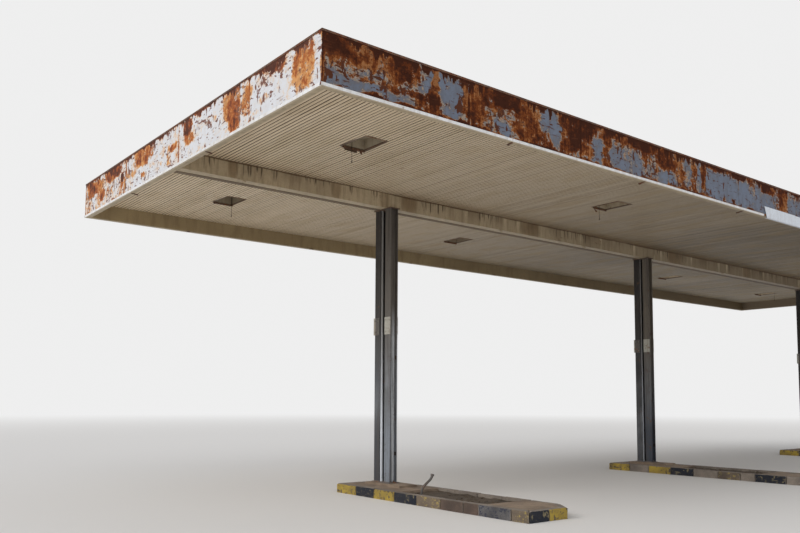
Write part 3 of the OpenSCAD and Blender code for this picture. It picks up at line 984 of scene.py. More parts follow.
class Finishes:
    """Every finish of the canopy, made once and handed out by slot or by node."""

    # Painted shade: the back light boxes, the back posts and the middle and right front posts take shaded copies of
    # their paint.
    OWN = {"front_light_boxes": "box_inside", "back_light_boxes": "box_dark", "light_frames": "frame_strip",
           "light_rods": "dark_hole", "front_girder": "girder_paint", "back_girder": "girder_dark",
           "beam_side_cladding": "beam_side", "beam_back_cladding": "beam_side", "back_edge_beam": "back_beam",
           "base_plates": "foot_plate",
           "left_back_post": "shaded_post", "middle_back_post": "black_post", "right_back_post": "black_post",
           "middle_front_post": "dim_post", "right_front_post": "dim_post",
           "left_infill": "island_crust", "middle_infill": "island_crust", "right_infill": "island_crust"}

    def __init__(self) -> None:
        """Makes the materials."""
        beam = dict(paint=(0.56, 0.455, 0.30), faded=(0.42, 0.335, 0.215), bright_rust=(0.20, 0.09, 0.04),
                    dark_rust=(0.06, 0.035, 0.025), rusted=0.15, rust_scale=2.0)
        post = dict(faded=(0.15, 0.16, 0.175), bright_rust=(0.15, 0.07, 0.035), dark_rust=(0.05, 0.028, 0.02),
                    stain=(0.06, 0.052, 0.048), rusted=0.24, rust_scale=5.0, streaks=0.75, ripple=1.8,
                    streak_way=(11.0, 11.0, 0.45))
        lamp_box = dict(faded=(0.36, 0.30, 0.21), stain=(0.18, 0.12, 0.07), rusted=0.2, rust_scale=4.0)
        kinds = [
            # Painted shade: the front fascia takes a dark blue-grey coat, darker wipes and darker rust than the white
            # end fascias, as its face lies in shade.
            FasciaPaint("rusted_fascia", 0.6, face=Face.FRONT,
                        coat=((0.0, (0.162, 0.190, 0.250)), (0.24, (0.150, 0.170, 0.217)), (0.36, (0.15, 0.13, 0.13)),
                              (0.43, (0.38, 0.32, 0.26)), (0.5, (0.27, 0.14, 0.075))),
                        rust=((0.47, (0.34, 0.145, 0.055)), (0.53, (0.225, 0.070, 0.019)), (0.60, (0.17, 0.046, 0.012)),
                              (0.70, (0.105, 0.027, 0.009)), (0.86, (0.042, 0.013, 0.007))),
                        wiped=(0.13, 0.135, 0.16), chip=(0.085, 0.028, 0.014), base=0.44, drip=0.12, foot=0.34,
                        scale=2.6, specular=0.08, limit=0.685, scratch=0.55, joint_start=-ROOF_HALF, corner=ROOF_HALF,
                        patches=self.front_patches()),
            FasciaPaint("white_fascia", 0.5, face=Face.SIDE,
                        coat=((0.0, (0.68, 0.70, 0.75)), (0.28, (0.64, 0.65, 0.68)), (0.36, (0.68, 0.60, 0.53)),
                              (0.43, (0.66, 0.47, 0.33)), (0.5, (0.56, 0.30, 0.13))),
                        rust=((0.48, (0.62, 0.31, 0.12)), (0.57, (0.50, 0.185, 0.05)), (0.70, (0.36, 0.10, 0.026)),
                              (0.84, (0.20, 0.050, 0.018)), (0.98, (0.07, 0.022, 0.012))),
                        wiped=(0.60, 0.60, 0.62), chip=(0.15, 0.055, 0.035), base=0.245, drip=0.08,
                        scale=2.5, specular=0.3, limit=0.695, scratch=0.45, tone=0.42, lean=(-1.0, 3.4, 0.12),
                        joint_start=END_PANEL_START, corner=ROOF_HALF_W, patches=self.left_patches()),
            WornPaint("dark_edge", 0.75, paint=(0.09, 0.035, 0.022), faded=(0.06, 0.025, 0.018),
                      bright_rust=(0.16, 0.055, 0.025), dark_rust=(0.05, 0.022, 0.016), rusted=0.45),
            # Painted shade: the trim's faces that look down, between 4.90 m and 5.03 m up, take a darker beige.
            LightAndShadePaint("white_trim", 0.5, paint=(0.84, 0.86, 0.89), faded=(0.73, 0.74, 0.75),
                       bright_rust=(0.22, 0.08, 0.03), stain=(0.36, 0.27, 0.18), rusted=0.16, rust_scale=5.0,
                       other=(0.60, 0.51, 0.37), axis=2, between=(4.9, 5.03), facing=(0.0, 0.0, -1.0)),
            # Painted shade: each far colour below darkens its beam or girder towards the right end of the roof.
            WornPaint("beige_beam", 0.55, **beam, stain=(0.20, 0.15, 0.10), streaks=0.4,
                      far=(0.22, 0.17, 0.115)),
            WornPaint("back_beam", 0.55, paint=(0.42, 0.325, 0.18), faded=(0.32, 0.24, 0.13),
                      stain=(0.17, 0.115, 0.06), rusted=0.16, rust_scale=1.6, streaks=0.45,
                      streak_way=(4.0, 4.0, 0.8), far=(0.15, 0.11, 0.06)),
            BeamPaint("beam_side", 0.55, **beam, stain=(0.16, 0.11, 0.065), streaks=0.4,
                      streak_way=(7.0, 7.0, 0.9), far=(0.25, 0.195, 0.13)),
            WornPaint("girder_paint", 0.6, **beam, stain=(0.16, 0.12, 0.08), streaks=0.4,
                      far=(0.22, 0.17, 0.115)),
            WornPaint("girder_dark", 0.7, paint=(0.20, 0.15, 0.09), faded=(0.15, 0.11, 0.07), rusted=0.2,
                      far=(0.12, 0.09, 0.06)),
            SlatPaint("ceiling_slats", 0.5),
            # Painted shade in the gaps between the slats: their sides and tongues take dark brown, paler on the back
            # bay's slats, and darker towards the right end of the roof.
            WornPaint("slat_gap", 0.8, paint=(0.13, 0.10, 0.065), faded=(0.09, 0.07, 0.045), rusted=0.2,
                      far=(0.05, 0.04, 0.03)),
            WornPaint("slat_gap_pale", 0.8, paint=(0.27, 0.215, 0.14), faded=(0.21, 0.165, 0.11), rusted=0.2,
                      far=(0.09, 0.072, 0.052)),
            WornPaint("hidden_steel", 0.75, paint=(0.13, 0.09, 0.065), faded=(0.08, 0.06, 0.05),
                      bright_rust=(0.17, 0.07, 0.03), rusted=0.36),
            Zinc("roof_sheet", 0.45, metallic=0.6, rusted=0.16),
            # Painted shade: the back row's boxes take a dark copy of the box paint. Both rows turn paler towards the
            # right end of the roof.
            WornPaint("box_inside", 0.6, paint=(0.48, 0.41, 0.305), far=(0.84, 0.71, 0.52), **lamp_box),
            WornPaint("box_dark", 0.6, paint=(0.13, 0.09, 0.06), far=(0.84, 0.71, 0.52), **lamp_box),
            FramePaint("frame_strip", 0.65, paint=(0.115, 0.055, 0.032), faded=(0.08, 0.042, 0.026),
                       rusted=0.40, rust_scale=7.0),
            # Painted light and shade on the posts: the back posts and the middle and right front posts take darker
            # copies of the post paint, the colour changes up each post's height and most posts darken at the foot, and
            # the left front post has a painted highlight, a pale strip low on its front face.
            LightAndShadePaint("post_paint", 0.5, paint=(0.30, 0.325, 0.365), top_shading=(0.13, 0.115, 0.098), **post,
                       foot=(0.20, 0.225, 0.262), other=(0.60, 0.63, 0.66), axis=0, between=(-7.945, -7.80),
                       facing=(0.0, -1.0, 0.0), fade=(2.6, 3.4)),
            WornPaint("shaded_post", 0.6, paint=(0.10, 0.108, 0.125), top_shading=(0.028, 0.024, 0.021),
                      foot=(0.036, 0.040, 0.048), **post),
            WornPaint("dim_post", 0.5, paint=(0.10, 0.112, 0.135), top_shading=(0.15, 0.128, 0.10),
                      foot=(0.036, 0.045, 0.064), **post),
            WornPaint("black_post", 0.6, paint=(0.045, 0.048, 0.055), top_shading=(0.022, 0.019, 0.017), **post),
            WornPaint("foot_plate", 0.7, paint=(0.12, 0.115, 0.115), faded=(0.09, 0.085, 0.08), rusted=0.3),
            WornPaint("patch_sheet", 0.45, paint=(0.74, 0.80, 0.88), faded=(0.64, 0.68, 0.74),
                      rusted=0.08, streaks=0.1),
            WornPaint("black_pipe", 0.45, paint=(0.095, 0.095, 0.10), faded=(0.07, 0.066, 0.064),
                      rusted=0.18, rust_scale=6.0),
            # Painted light: near-white zinc makes the rainwater pipes stand out bright in the shade between the posts;
            # painted shade darkens them towards the top.
            Zinc("zinc_pipe", 0.4, coat=(0.80, 0.85, 0.92), dull=(0.64, 0.68, 0.74), rusted=0.10,
                 top_shading=(0.34, 0.33, 0.31)),
            # Painted shade: a dark colour on the left faces of the plates, between 0.05 m and 0.205 m behind the
            # column's middle.
            LightAndShadePaint("batten_plate", 0.5, paint=(0.56, 0.57, 0.51), faded=(0.46, 0.45, 0.40),
                       rusted=0.2, rust_scale=4.0, streaks=0.4, other=(0.10, 0.095, 0.09), between=(0.05, 0.205)),
            # Painted shade: near-black standing in for the inside of the cable holes; the light rods take it too.
            WornPaint("dark_hole", 0.9, paint=(0.012, 0.012, 0.013), faded=(0.02, 0.018, 0.017), rusted=0.1),
            Stone("kerb_stone", 0.9, bare=(0.31, 0.265, 0.22), dark=(0.16, 0.135, 0.115)),
            Stone("island_crust", 0.92, bare=(0.34, 0.26, 0.19), dark=(0.18, 0.135, 0.10)),
            Stone("trough_soil", 0.95, bare=(0.12, 0.09, 0.065), dark=(0.055, 0.042, 0.03)),
            Stone("kerb_yellow", 0.85, bare=(0.15, 0.115, 0.08), dark=(0.075, 0.06, 0.045),
                  coat=(0.42, 0.30, 0.052), painted=0.67, limit=0.70),
            Stone("kerb_black", 0.85, bare=(0.30, 0.25, 0.14), dark=(0.030, 0.030, 0.034),
                  coat=(0.013, 0.016, 0.026), painted=0.80, limit=0.67),
            Stone("kerb_traces", 0.9, bare=(0.20, 0.155, 0.11), coat=(0.42, 0.32, 0.10), painted=0.40),
            Stone("kerb_brown", 0.9, bare=(0.15, 0.105, 0.082), dark=(0.075, 0.055, 0.045)),
            Stone("kerb_grey", 0.9, bare=(0.16, 0.155, 0.155), dark=(0.06, 0.058, 0.062),
                  coat=(0.02, 0.025, 0.05), painted=0.46),
        ]
        self.made = {kind.name: kind.make() for kind in kinds}

    @staticmethod
    def front_patches() -> tuple[Patch, ...]:
        """Rust and surviving paint on the front fascia, from its left corner on.

        Returns:
            The patches.
        """
        low, mid, high, top = 5.14, 5.36, 5.46, 5.55
        rust = [
            (0.10, 5.45, 0.10, 0.18, 0.2), (0.75, 5.50, 0.75, 0.16, 0.26, 0.05), (1.3, 5.22, 0.9, 0.05, 0.12, 0.1),
            (1.63, mid, 0.07, 0.3, 0.3), (2.26, 5.40, 0.24, 0.25, 0.28), (2.77, top, 0.30, 0.09, 0.3, 0.12),
            (3.26, mid, 0.25, 0.35, 0.26), (4.13, 5.42, 0.22, 0.30, 0.32, 0.10),
            (4.54, 5.50, 0.20, 0.16, 0.32, 0.12), (4.52, 5.20, 0.14, 0.10, 0.28, -0.08),
            (4.97, mid, 0.09, 0.30, 0.28), (5.67, 5.56, 0.6, 0.08, 0.28, 0.1), (5.54, 5.40, 0.05, 0.20, 0.25),
            (5.89, mid, 0.07, 0.25, 0.25), (6.47, 5.45, 0.22, 0.16, 0.28), (6.83, 5.38, 0.15, 0.27, 0.10, -0.04),
            (7.27, high, 0.08, 0.13, 0.28), (7.57, mid, 0.08, 0.25, 0.3), (8.30, 5.58, 0.7, 0.05, 0.2, 0.1),
            (8.21, 5.10, 0.06, 0.05, 0.45, 0.2), (8.54, 5.11, 0.05, 0.05, 0.45, 0.2),
            (9.15, high, 0.12, 0.12, 0.26, 0.1), (9.75, 5.54, 0.22, 0.10, 0.3, 0.08),
            (10.36, 5.42, 0.17, 0.24, 0.36), (11.2, 5.56, 0.5, 0.08, 0.2, 0.1)]
        paint = [
            (1.46, 5.45, 0.10, 0.20, -0.34), (1.87, mid, 0.17, 0.32, -0.36), (2.50, 5.35, 0.06, 0.04, -0.2),
            (2.79, low, 0.13, 0.07, -0.34), (3.71, high, 0.21, 0.18, -0.32), (3.83, 5.20, 0.10, 0.15, -0.3),
            (4.73, 5.25, 0.13, 0.20, -0.28), (5.47, 5.22, 0.50, 0.20, -0.26), (6.47, low, 0.25, 0.12, -0.26),
            (7.09, mid, 0.10, 0.25, -0.24), (7.42, 5.30, 0.07, 0.25, -0.24), (8.37, 5.30, 0.70, 0.24, -0.34),
            (0.77, 5.13, 0.55, 0.07, -0.20), (9.35, 5.28, 0.7, 0.24, -0.30), (10.9, 5.38, 0.35, 0.2, -0.28),
            (13.5, 5.30, 0.9, 0.25, -0.2), (16.2, 5.34, 0.8, 0.25, -0.2), (19.0, 5.30, 0.7, 0.2, -0.2),
            (21.6, 5.35, 0.9, 0.25, -0.2)]
        return tuple(Patch(m - ROOF_HALF, z, a, b, 0.85 * s, *d) for m, z, a, b, s, *d in rust + paint)

    @staticmethod
    def left_patches() -> tuple[Patch, ...]:
        """Rust on the left fascia, from its back corner on."""
        return tuple(Patch(ROOF_HALF_W - m, z, a, b, s, *d) for m, z, a, b, s, *d in [
            (0.34, 5.47, 0.22, 0.14, 0.34, 0.14), (0.75, 5.45, 0.30, 0.12, 0.22, 0.1),
            (0.95, 5.25, 0.15, 0.09, 0.34, -0.04), (1.54, 5.53, 0.38, 0.12, 0.40, 0.20),
            (2.00, 5.37, 0.07, 0.08, 0.55, 0.35), (2.10, 5.17, 0.04, 0.14, 0.30), (2.40, 5.31, 0.22, 0.06, 0.20),
            (2.86, 5.50, 0.32, 0.16, 0.36, -0.10), (2.95, 5.18, 0.09, 0.05, 0.38, 0.2),
            (3.27, 5.48, 0.10, 0.10, 0.20, 0.2), (4.00, 5.21, 0.12, 0.14, 0.28, -0.08),
            (4.18, 5.335, 0.12, 0.07, 0.38, 0.1), (4.63, 5.50, 0.16, 0.10, 0.38, 0.22),
            (4.72, 5.32, 0.18, 0.09, 0.30, -0.05), (5.40, 5.39, 0.18, 0.07, 0.22, -0.05),
            (5.92, 5.45, 0.12, 0.20, 0.34), (6.13, 5.36, 0.16, 0.30, 0.42, 0.02),
            (6.45, 5.35, 0.13, 0.20, 0.30, -0.08), (6.90, 5.50, 0.22, 0.10, 0.20, 0.2),
            (6.95, 5.25, 0.14, 0.05, 0.25), (7.30, 5.54, 0.22, 0.08, 0.24, 0.2),
            (7.82, 5.37, 0.23, 0.27, 0.40, -0.02)])

    def give(self, piece: Piece, *names: str) -> None:
        """Puts finishes on a piece.

        Args:
            piece: The piece.
            names: Its finishes, in the order of its material slots.
        """
        piece.data.materials.clear()
        for name in names:
            piece.data.materials.append(self.made[name])

    def hand_over(self, name: str, parts: Sequence[Piece], slot: str, finish: str | None, *nodes: str) -> None:
        """Joins parts into one piece, dresses it and ties it to the frame.

        Args:
            name: Name of the piece.
            parts: What it is joined from.
            slot: The record's material slot for the piece; not used.
            finish: Its finish, unless its parts have theirs.
            nodes: CAD nodes that it replaces.
        """
        piece = join(name, parts)
        if finish:
            self.give(piece, finish)
        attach(piece, BODY)
        if nodes:
            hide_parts(*nodes)
        LOG.info("%s: %d faces", piece.name, len(piece.data.polygons))

    def dress_nodes(self) -> None:
        """Puts each CAD node's finish in its material slots."""
        slots = {row["node"]: row["material_slot"] for row in frame["record"]["subparts"]}
        for name, node in frame["nodes"].items():
            for place in node.material_slots:
                place.material = self.made[self.OWN.get(name, slots[name])]
        LOG.info("dressed %d nodes", len(slots))


# ---------------------------------------------------------------- pieces


@dataclass
class SlattedCeiling:
    """One bay of narrow metal slats that run across the roof, cut round the light openings."""

    finishes: Finishes
    name: str
    node: str
    inner: float
    outer: float
    seed: int
    half_length: float = 11.873
    low: float = 5.280
    widths: tuple[float, ...] = (0.050, 0.049, 0.050, 0.044, 0.048)
    depth: float = 0.014
    tongue: float = 0.002
    edge: float = 0.0025
    slack: float = 0.032
    unevenness: float = 0.0006

    def pattern(self, number: int) -> Piece:
        """Models one slat with its turned edges, side tongue and a faint wave.

        Args:
            number: Which of the widths it has.

        Returns:
            The slat, from X = 0 on.
        """
        away = 2.7 * number
        width = self.widths[number]
        y0, y1 = sorted((self.inner, self.outer))
        slat = box(f"slat_pattern_{number}", (away, y0, self.low), (away + width, y1, self.low + self.depth))
        tongue_z = self.low + self.depth - self.tongue
        cut(slat, UP * tongue_z, UP)
        if pick(slat, Pick.FACES, lambda c, n: n.x > 0.9 and c.z > tongue_z):
            with editing(slat, Pick.FACES):
                bpy.ops.mesh.extrude_region_move(
                    TRANSFORM_OT_translate={"value": (SLAT_PITCH - width - 0.0003, 0, 0)})
        bevel(slat, self.edge, lambda c, d: abs(d.y) > 0.9 and c.z < self.low + 1e-5)
        # The slat's sides and tongue take painted shade for the gaps between slats: darker in the front bay and on the
        # narrowest slat, paler elsewhere.
        dark = self.inner < 0 or number == self.widths.index(min(self.widths))
        self.finishes.give(slat, "ceiling_slats", "slat_gap" if dark else "slat_gap_pale")
        for face in slat.data.polygons:
            face.material_index = int(abs(face.normal.x) > 0.9 or face.center.z > self.low + self.depth / 2)
        score(slat, 1, y0, y1 - y0, 8)
        roughen(slat, f"slat_wave_{number}", 0.8, "Z", 0.0015, 0.5)
        slat.data.transform(Matrix.Translation((-away, 0, 0)))
        return slat

    def build(self) -> None:
        """Lays all slats of the bay and hands the ceiling over in place of its plain slab."""
        dice = random.Random(self.seed)
        patterns = [self.pattern(i) for i in range(len(self.widths))]
        middle = math.copysign(LIGHT_Y, self.inner)
        half_x, half_y = LIGHT_HALF
        laid = []
        count = int(2 * self.half_length / SLAT_PITCH)
        start = -count * SLAT_PITCH / 2
        for i in range(count):
            x = start + i * SLAT_PITCH
            pattern = dice.choice(patterns)
            place = Matrix.Translation((x, 0, dice.uniform(-self.unevenness, self.unevenness)))
            hit = [c for c in LIGHT_X if x + SLAT_PITCH > c - half_x and x < c + half_x]
            if not hit:
                laid.append(twin(pattern, place))
                continue
            left, right = hit[0] - half_x, hit[0] + half_x
            edges = []
            if x < left:
                laid.append(self.trimmed(pattern, place, (left, 1)))
                edges.append((left, -1))
            if x + SLAT_PITCH > right:
                laid.append(self.trimmed(pattern, place, (right, -1)))
                edges.append((right, 1))
            near = middle - half_y - self.slack - dice.uniform(0.0, 0.012)
            for y, way in ((near, 1), (middle + half_y, -1)):
                short = self.trimmed(pattern, place, *edges)
                cut(short, (0, y, 0), (0, way, 0), drop=True)
                laid.append(short)
        for pattern in patterns:
            bpy.data.objects.remove(pattern)
        self.finishes.hand_over(self.name, laid, "ceiling_slats", None, self.node)

    def trimmed(self, pattern: Piece, place: Matrix, *edges: tuple[float, int]) -> Piece:
        """Copies a slat and trims it.

        Args:
            pattern: The slat to copy.
            place: Where the copy goes.
            edges: Places along X, each with the side on which the slat goes.

        Returns:
            The trimmed copy.
        """
        slat = twin(pattern, place)
        for x, way in edges:
            cut(slat, (x, 0, 0), (way, 0, 0), drop=True)
        return slat


class Coat(Enum):
    """How a kerb stone's outer face is painted, by the name of its finish."""

    YELLOW = "kerb_yellow"
    BLACK = "kerb_black"
    TRACES = "kerb_traces"
    BARE = "kerb_stone"
    BROWN = "kerb_brown"
    GREY = "kerb_grey"


@dataclass
class KerbRow:
    """The kerb of one island as separate stones with worn edges, open joints and chipped corners."""

    finishes: Finishes
    side: str
    column: float
    coats: tuple[Coat, ...]
    seed: int
    left: float = -0.595
    right: float = 0.44
    left_joints: tuple[float, ...] = (0.65, 0.06, -0.453, -1.01, -1.567, -2.136, -2.632, -2.94, -3.58)
    nose: tuple[Span, ...] = ((-0.565, -3.895), (-0.16, -3.895), (0.22, -3.895))
    right_joints: tuple[float, ...] = (-3.575, -3.05, -2.52, -1.98, -1.46, -0.93, -0.40, 0.12, 0.65)
    back: Span = (-0.08, 0.65)
    width: float = 0.12
    height: float = 0.16
    spare: float = 0.13
    joint: float = 0.013
    ease: float = 0.008
    arris: float = 0.020

    def pattern(self, number: int, length: float) -> Piece:
        """Models one stone with a rounded outer arris and rough faces.

        Args:
            number: Number of the stone, which sets its roughness.
            length: Length in metres.

        Returns:
            The stone along X from 0, its outer face on Y = 0.
        """
        stone = box(f"stone_pattern_{number}", (0, 0, 0), (length, self.width, self.height))
        bevel(stone, self.arris, lambda c, d: abs(d.x) > 0.9 and c.z > 0.15 and c.y < 0.01, 3)
        score(stone, 0, 0.0, length, max(4, round(length / 0.07)))
        for z in (0.04, 0.08, 0.115):
            cut(stone, UP * z, UP)
        score(stone, 1, 0.0, self.width, 2)
        away = Matrix.Translation((3.1 * number, 0, 0))
        stone.data.transform(away)
        for way, size, depth, level in (("Y", 0.10, 0.012, 0.35), ("Z", 0.09, 0.007, 0.8)):
            roughen(stone, f"stone_rough_{number}_{way}", size, way, depth, level)
        stone.data.transform(away.inverted())
        for point in stone.data.vertices:
            if point.co.z < 0.02:
                point.co.z = 0.0
        return stone

    def trim(self, stone: Piece, place: Vector, out: Vector, inward: Vector, chip: float) -> None:
        """Cuts one end of a stone square or mitred, eases its edges and knocks a chip off its top corner.

        Args:
            stone: The stone in its place.
            place: A point on the end.
            out: The way the end looks.
            inward: The way to the island's middle.
            chip: Size of the chip, or 0 for none.
        """
        cut(stone, place, out, drop=True)
        level = out.dot(place)
        bevel(stone, self.ease, lambda c, d: abs(out.dot(c) - level) < 2e-4)
        if chip:
            corner = place + UP * self.height - out * 0.002
            way = (out.normalized() - inward + UP).normalized()
            cut(stone, corner - way * chip, way, drop=True)

    def build(self) -> None:
        """Sets the stones round the island, mitred at its corners."""
        dice = random.Random(self.seed)
        meets = [*((self.left, y) for y in self.left_joints), *self.nose,
                 *((self.right, y) for y in self.right_joints), self.back]
        shift = Vector((self.column, 0, 0))
        points = [Vector((x, y, 0)) + shift for x, y in meets]
        count = len(points)
        laid = []
        for k, start in enumerate(points):
            end = points[(k + 1) % count]
            way = (end - start).normalized()
            before = (start - points[k - 1]).normalized()
            after = (points[(k + 2) % count] - end).normalized()
            inward = Vector((-way.y, way.x, 0))
            stone = self.pattern(k, (end - start).length + 2 * self.spare)
            turn = Matrix((way, inward, UP)).transposed().to_4x4()
            stone.data.transform(Matrix.Diagonal((1, 1, 1 - dice.uniform(0.0, 0.035), 1)))
            place = start - way * self.spare + inward * dice.uniform(0.0, 0.010)
            stone.data.transform(Matrix.Translation(place) @ turn)
            chips = [dice.uniform(0.012, 0.03) if dice.random() < 0.45 else 0.0 for _ in range(2)]
            self.trim(stone, start + way * self.joint / 2, -(way + before).normalized(), inward, chips[0])
            self.trim(stone, end - way * self.joint / 2, (way + after).normalized(), inward, chips[1])
            coat = self.coats[k] if k < len(self.coats) else Coat.BARE
            self.finishes.give(stone, coat.value, Coat.BARE.value)
            for face in stone.data.polygons:
                face.material_index = int(face.normal.dot(inward) > -0.3)
            laid.append(stone)
        self.finishes.hand_over(f"{self.side}_kerb_stones", laid, "kerb_stone", None, f"{self.side}_kerb")


@dataclass
class Trough:
    """Soil and rubble in the sunk part of one island."""

    finishes: Finishes
    name: str
    column: float
    seed: int
    low: Trio = (-0.470, -2.997, 0.0905)
    high: Trio = (0.315, -1.054, 0.112)
    lumps: int = 34

    def build(self) -> None:
        """Builds the soil bed and its lumps as one piece."""
        dice = random.Random(self.seed)
        shift = Vector((self.column, 0, 0))
        low, high = Vector(self.low) + shift, Vector(self.high) + shift
        bed = box("soil_bed", low, high)
        for axis, cuts in ((0, 9), (1, 22)):
            score(bed, axis, low[axis], high[axis] - low[axis], cuts)
        crust = bed.vertex_groups.new(name="crust")
        crust.add([v.index for v in bed.data.vertices if v.co.z > high.z - 1e-4], 1.0, "REPLACE")
        roughen(bed, f"{self.name}_clods", 0.16, "Z", 0.05, 0.45, "crust")
        laid = [bed] + [self.lump(dice) for _ in range(self.lumps)]
        self.finishes.hand_over(self.name, laid, "concrete", "trough_soil")

    def lump(self, dice: random.Random) -> Piece:
        """Models one broken lump of concrete half sunk in the soil.

        Args:
            dice: Where its size, cuts and place come from.

        Returns:
            The lump in its place.
        """
        clear()
        bpy.ops.mesh.primitive_ico_sphere_add(subdivisions=2, radius=dice.uniform(0.012, 0.035))
        lump = bpy.context.object
        for _ in range(3):
            way = Vector([dice.uniform(-1, 1) for _ in range(3)]).normalized()
            cut(lump, way * 0.010, way, drop=True)
        place = Vector((self.column + dice.uniform(self.low[0] + 0.05, self.high[0] - 0.05),
                        dice.uniform(self.low[1] + 0.05, self.high[1] - 0.05), self.high[2] + 0.006))
        turn = Matrix.Rotation(dice.uniform(0, 6.28), 4, "Z")
        lump.data.transform(Matrix.Translation(place) @ turn @ Matrix.Diagonal((1.2, 0.9, 0.7, 1)))
        return lump


@dataclass
class Bolts:
    """Hexagon bolts with a washer and a short stud end, modelled once and set wherever one is needed."""

    across: float
    thick: float = 0.016
    stud: float = 0.012
    washer: float = 0.004

    def pattern(self) -> Piece:
        """Models one bolt head on its washer, standing on the origin along Z.

        Returns:
            The pattern.
        """
        parts = []
        for name, foot, radius, height, sides, ease, level in (
                ("washer", 0.0, self.across * 0.68, self.washer, 16, 0.001, 0.003),
                ("nut", self.washer, self.across / math.sqrt(3), self.thick, 6, 0.002, self.thick),
                ("tip", self.thick + 0.002, self.across * 0.27, self.stud, 10, 0.002, self.thick + 0.0085)):
            part = rod(name, (0, 0, foot), radius, height, sides)
            bevel(part, ease, lambda c, d: abs(d.z) < 0.1 and c.z > level)
            parts.append(part)
        return join("bolt_pattern", parts)

    def row(self, places: Sequence[tuple[Vector, Vector]]) -> list[Piece]:
        """Sets a bolt at each place, given by its foot and outward direction, each turned a little further."""
        return set_out(self.pattern(), [stand(foot, out) @ Matrix.Rotation(0.4 * i, 4, "Z")
                                        for i, (foot, out) in enumerate(places)])


@dataclass
class Column:
    """Fixings of one twin-post column: weld beads, anchor and plate bolts, pipe clips, cable holes."""

    finishes: Finishes
    name: str
    x: float
    gap: float
    lean: float
    holes: tuple[float, ...]
    base_top: float = 0.205
    plates: Span = (2.770, 3.075)
    post: float = 0.160
    flange: float = 0.013
    bead: float = 0.010
    clips: tuple[float, ...] = (1.05, 2.30, 4.10)
    pipe: float = 0.027
    pipe_length: float = 4.803

    def build(self) -> None:
        """Builds every small piece of the column."""
        self.anchor_bolts()
        self.plate_bolts()
        self.weld_beads()
        self.pipe_clips()
        if self.holes:
            self.cable_holes()

    def anchor_bolts(self) -> None:
        """Nuts on the base plate, in the recesses of the posts, clear of the rainwater pipe."""
        y, deep, beside = self.gap / 2, 0.045, 0.035
        spots = [(dx, dy) for dy in (-y - deep, -y + deep, y + deep) for dx in (-beside, beside)]
        spots.append((beside, y - deep))
        bolts = Bolts(0.028).row([(Vector((self.x + dx, dy, self.base_top)), UP) for dx, dy in spots])
        self.finishes.hand_over(f"{self.name}_anchor_bolts", bolts, "batten_plate", "foot_plate")

    def plate_bolts(self) -> None:
        """Bolts through the cover plates on both sides of the posts."""
        y, inset = self.gap / 2, 0.05
        places = [(Vector((self.x + way * (self.post / 2 + 0.008), dy, z)), Vector((way, 0, 0)))
                  for way, spots in ((-1, (y - 0.01, y + 0.06)), (1, (y - inset, y + inset)))
                  for z in (self.plates[0] + inset, self.plates[1] - inset)
                  for dy in (-y - inset, -y + inset, *spots)]
        bolts = Bolts(0.024, 0.010, 0.006).row(places)
        self.finishes.hand_over(f"{self.name}_plate_bolts", bolts, "batten_plate", "batten_plate")

    def weld_beads(self) -> None:
        """Weld beads along the outer faces of the flanges, on the base plate."""
        laid = []
        for side in (-1, 1):
            for y in (-self.gap / 2, self.gap / 2):
                x = self.x + side * self.post / 2
                xs = sorted((x, x + side * self.bead))
                half = self.post / 2 - 0.004
                bead = box("weld_bead", (xs[0], y - half, self.base_top), (xs[1], y + half, self.base_top + self.bead))
                bevel(bead, 0.0075, lambda c, d: abs(d.y) > 0.9 and c.z > self.base_top + 0.009
                      and (c.x - x) * side > 0.009, 2)
                laid.append(bead)
        self.finishes.hand_over(f"{self.name}_weld_beads", laid, "batten_plate", "foot_plate")

    def pipe_clips(self) -> None:
        """Straps that hold the rainwater pipe to the web of the back post."""
        laid = []
        for z in self.clips:
            y = 0.062 + (z - self.base_top) * self.lean / self.pipe_length
            band = rod("clip_band", (self.x - 0.04, y, z - 0.0125), self.pipe, 0.025, 24)
            pick(band, Pick.FACES, lambda c, n: abs(n.z) > 0.9)
            with editing(band, Pick.FACES):
                bpy.ops.mesh.inset(thickness=0.0026, depth=0)
                bpy.ops.mesh.delete(type="FACE")
            modify(band, "SOLIDIFY", thickness=0.0024, offset=-1.0)
            arm = box("clip_arm", (self.x - 0.043, y + 0.024, z - 0.011),
                      (self.x - 0.037, self.gap / 2 - 0.003, z + 0.011))
            bevel(arm, 0.0015, lambda c, d: abs(d.y) > 0.9)
            laid += [band, arm]
        self.finishes.hand_over(f"{self.name}_pipe_clips", laid, "zinc_pipe", "zinc_pipe")

    def cable_holes(self) -> None:
        """Cable holes inside the right flange of the front post: a raised rim round an inset face, near-black as
        painted shade in place of an open hole.
        """
        face, y = self.x + self.post / 2 - self.flange, -self.gap / 2 - 0.045
        laid = []
        for z in self.holes:
            hole = box("cable_hole", (face - 0.003, y - 0.024, z), (face, y + 0.024, z + 0.066))
            bevel(hole, 0.010, lambda c, d: abs(d.x) > 0.9, 3)
            pick(hole, Pick.FACES, lambda c, n: n.x < -0.9)
            with editing(hole, Pick.FACES):
                bpy.ops.mesh.inset(thickness=0.005, depth=-0.002)
            laid.append(hole)
        self.finishes.hand_over(f"{self.name}_cable_holes", laid, "black_pipe", "dark_hole")


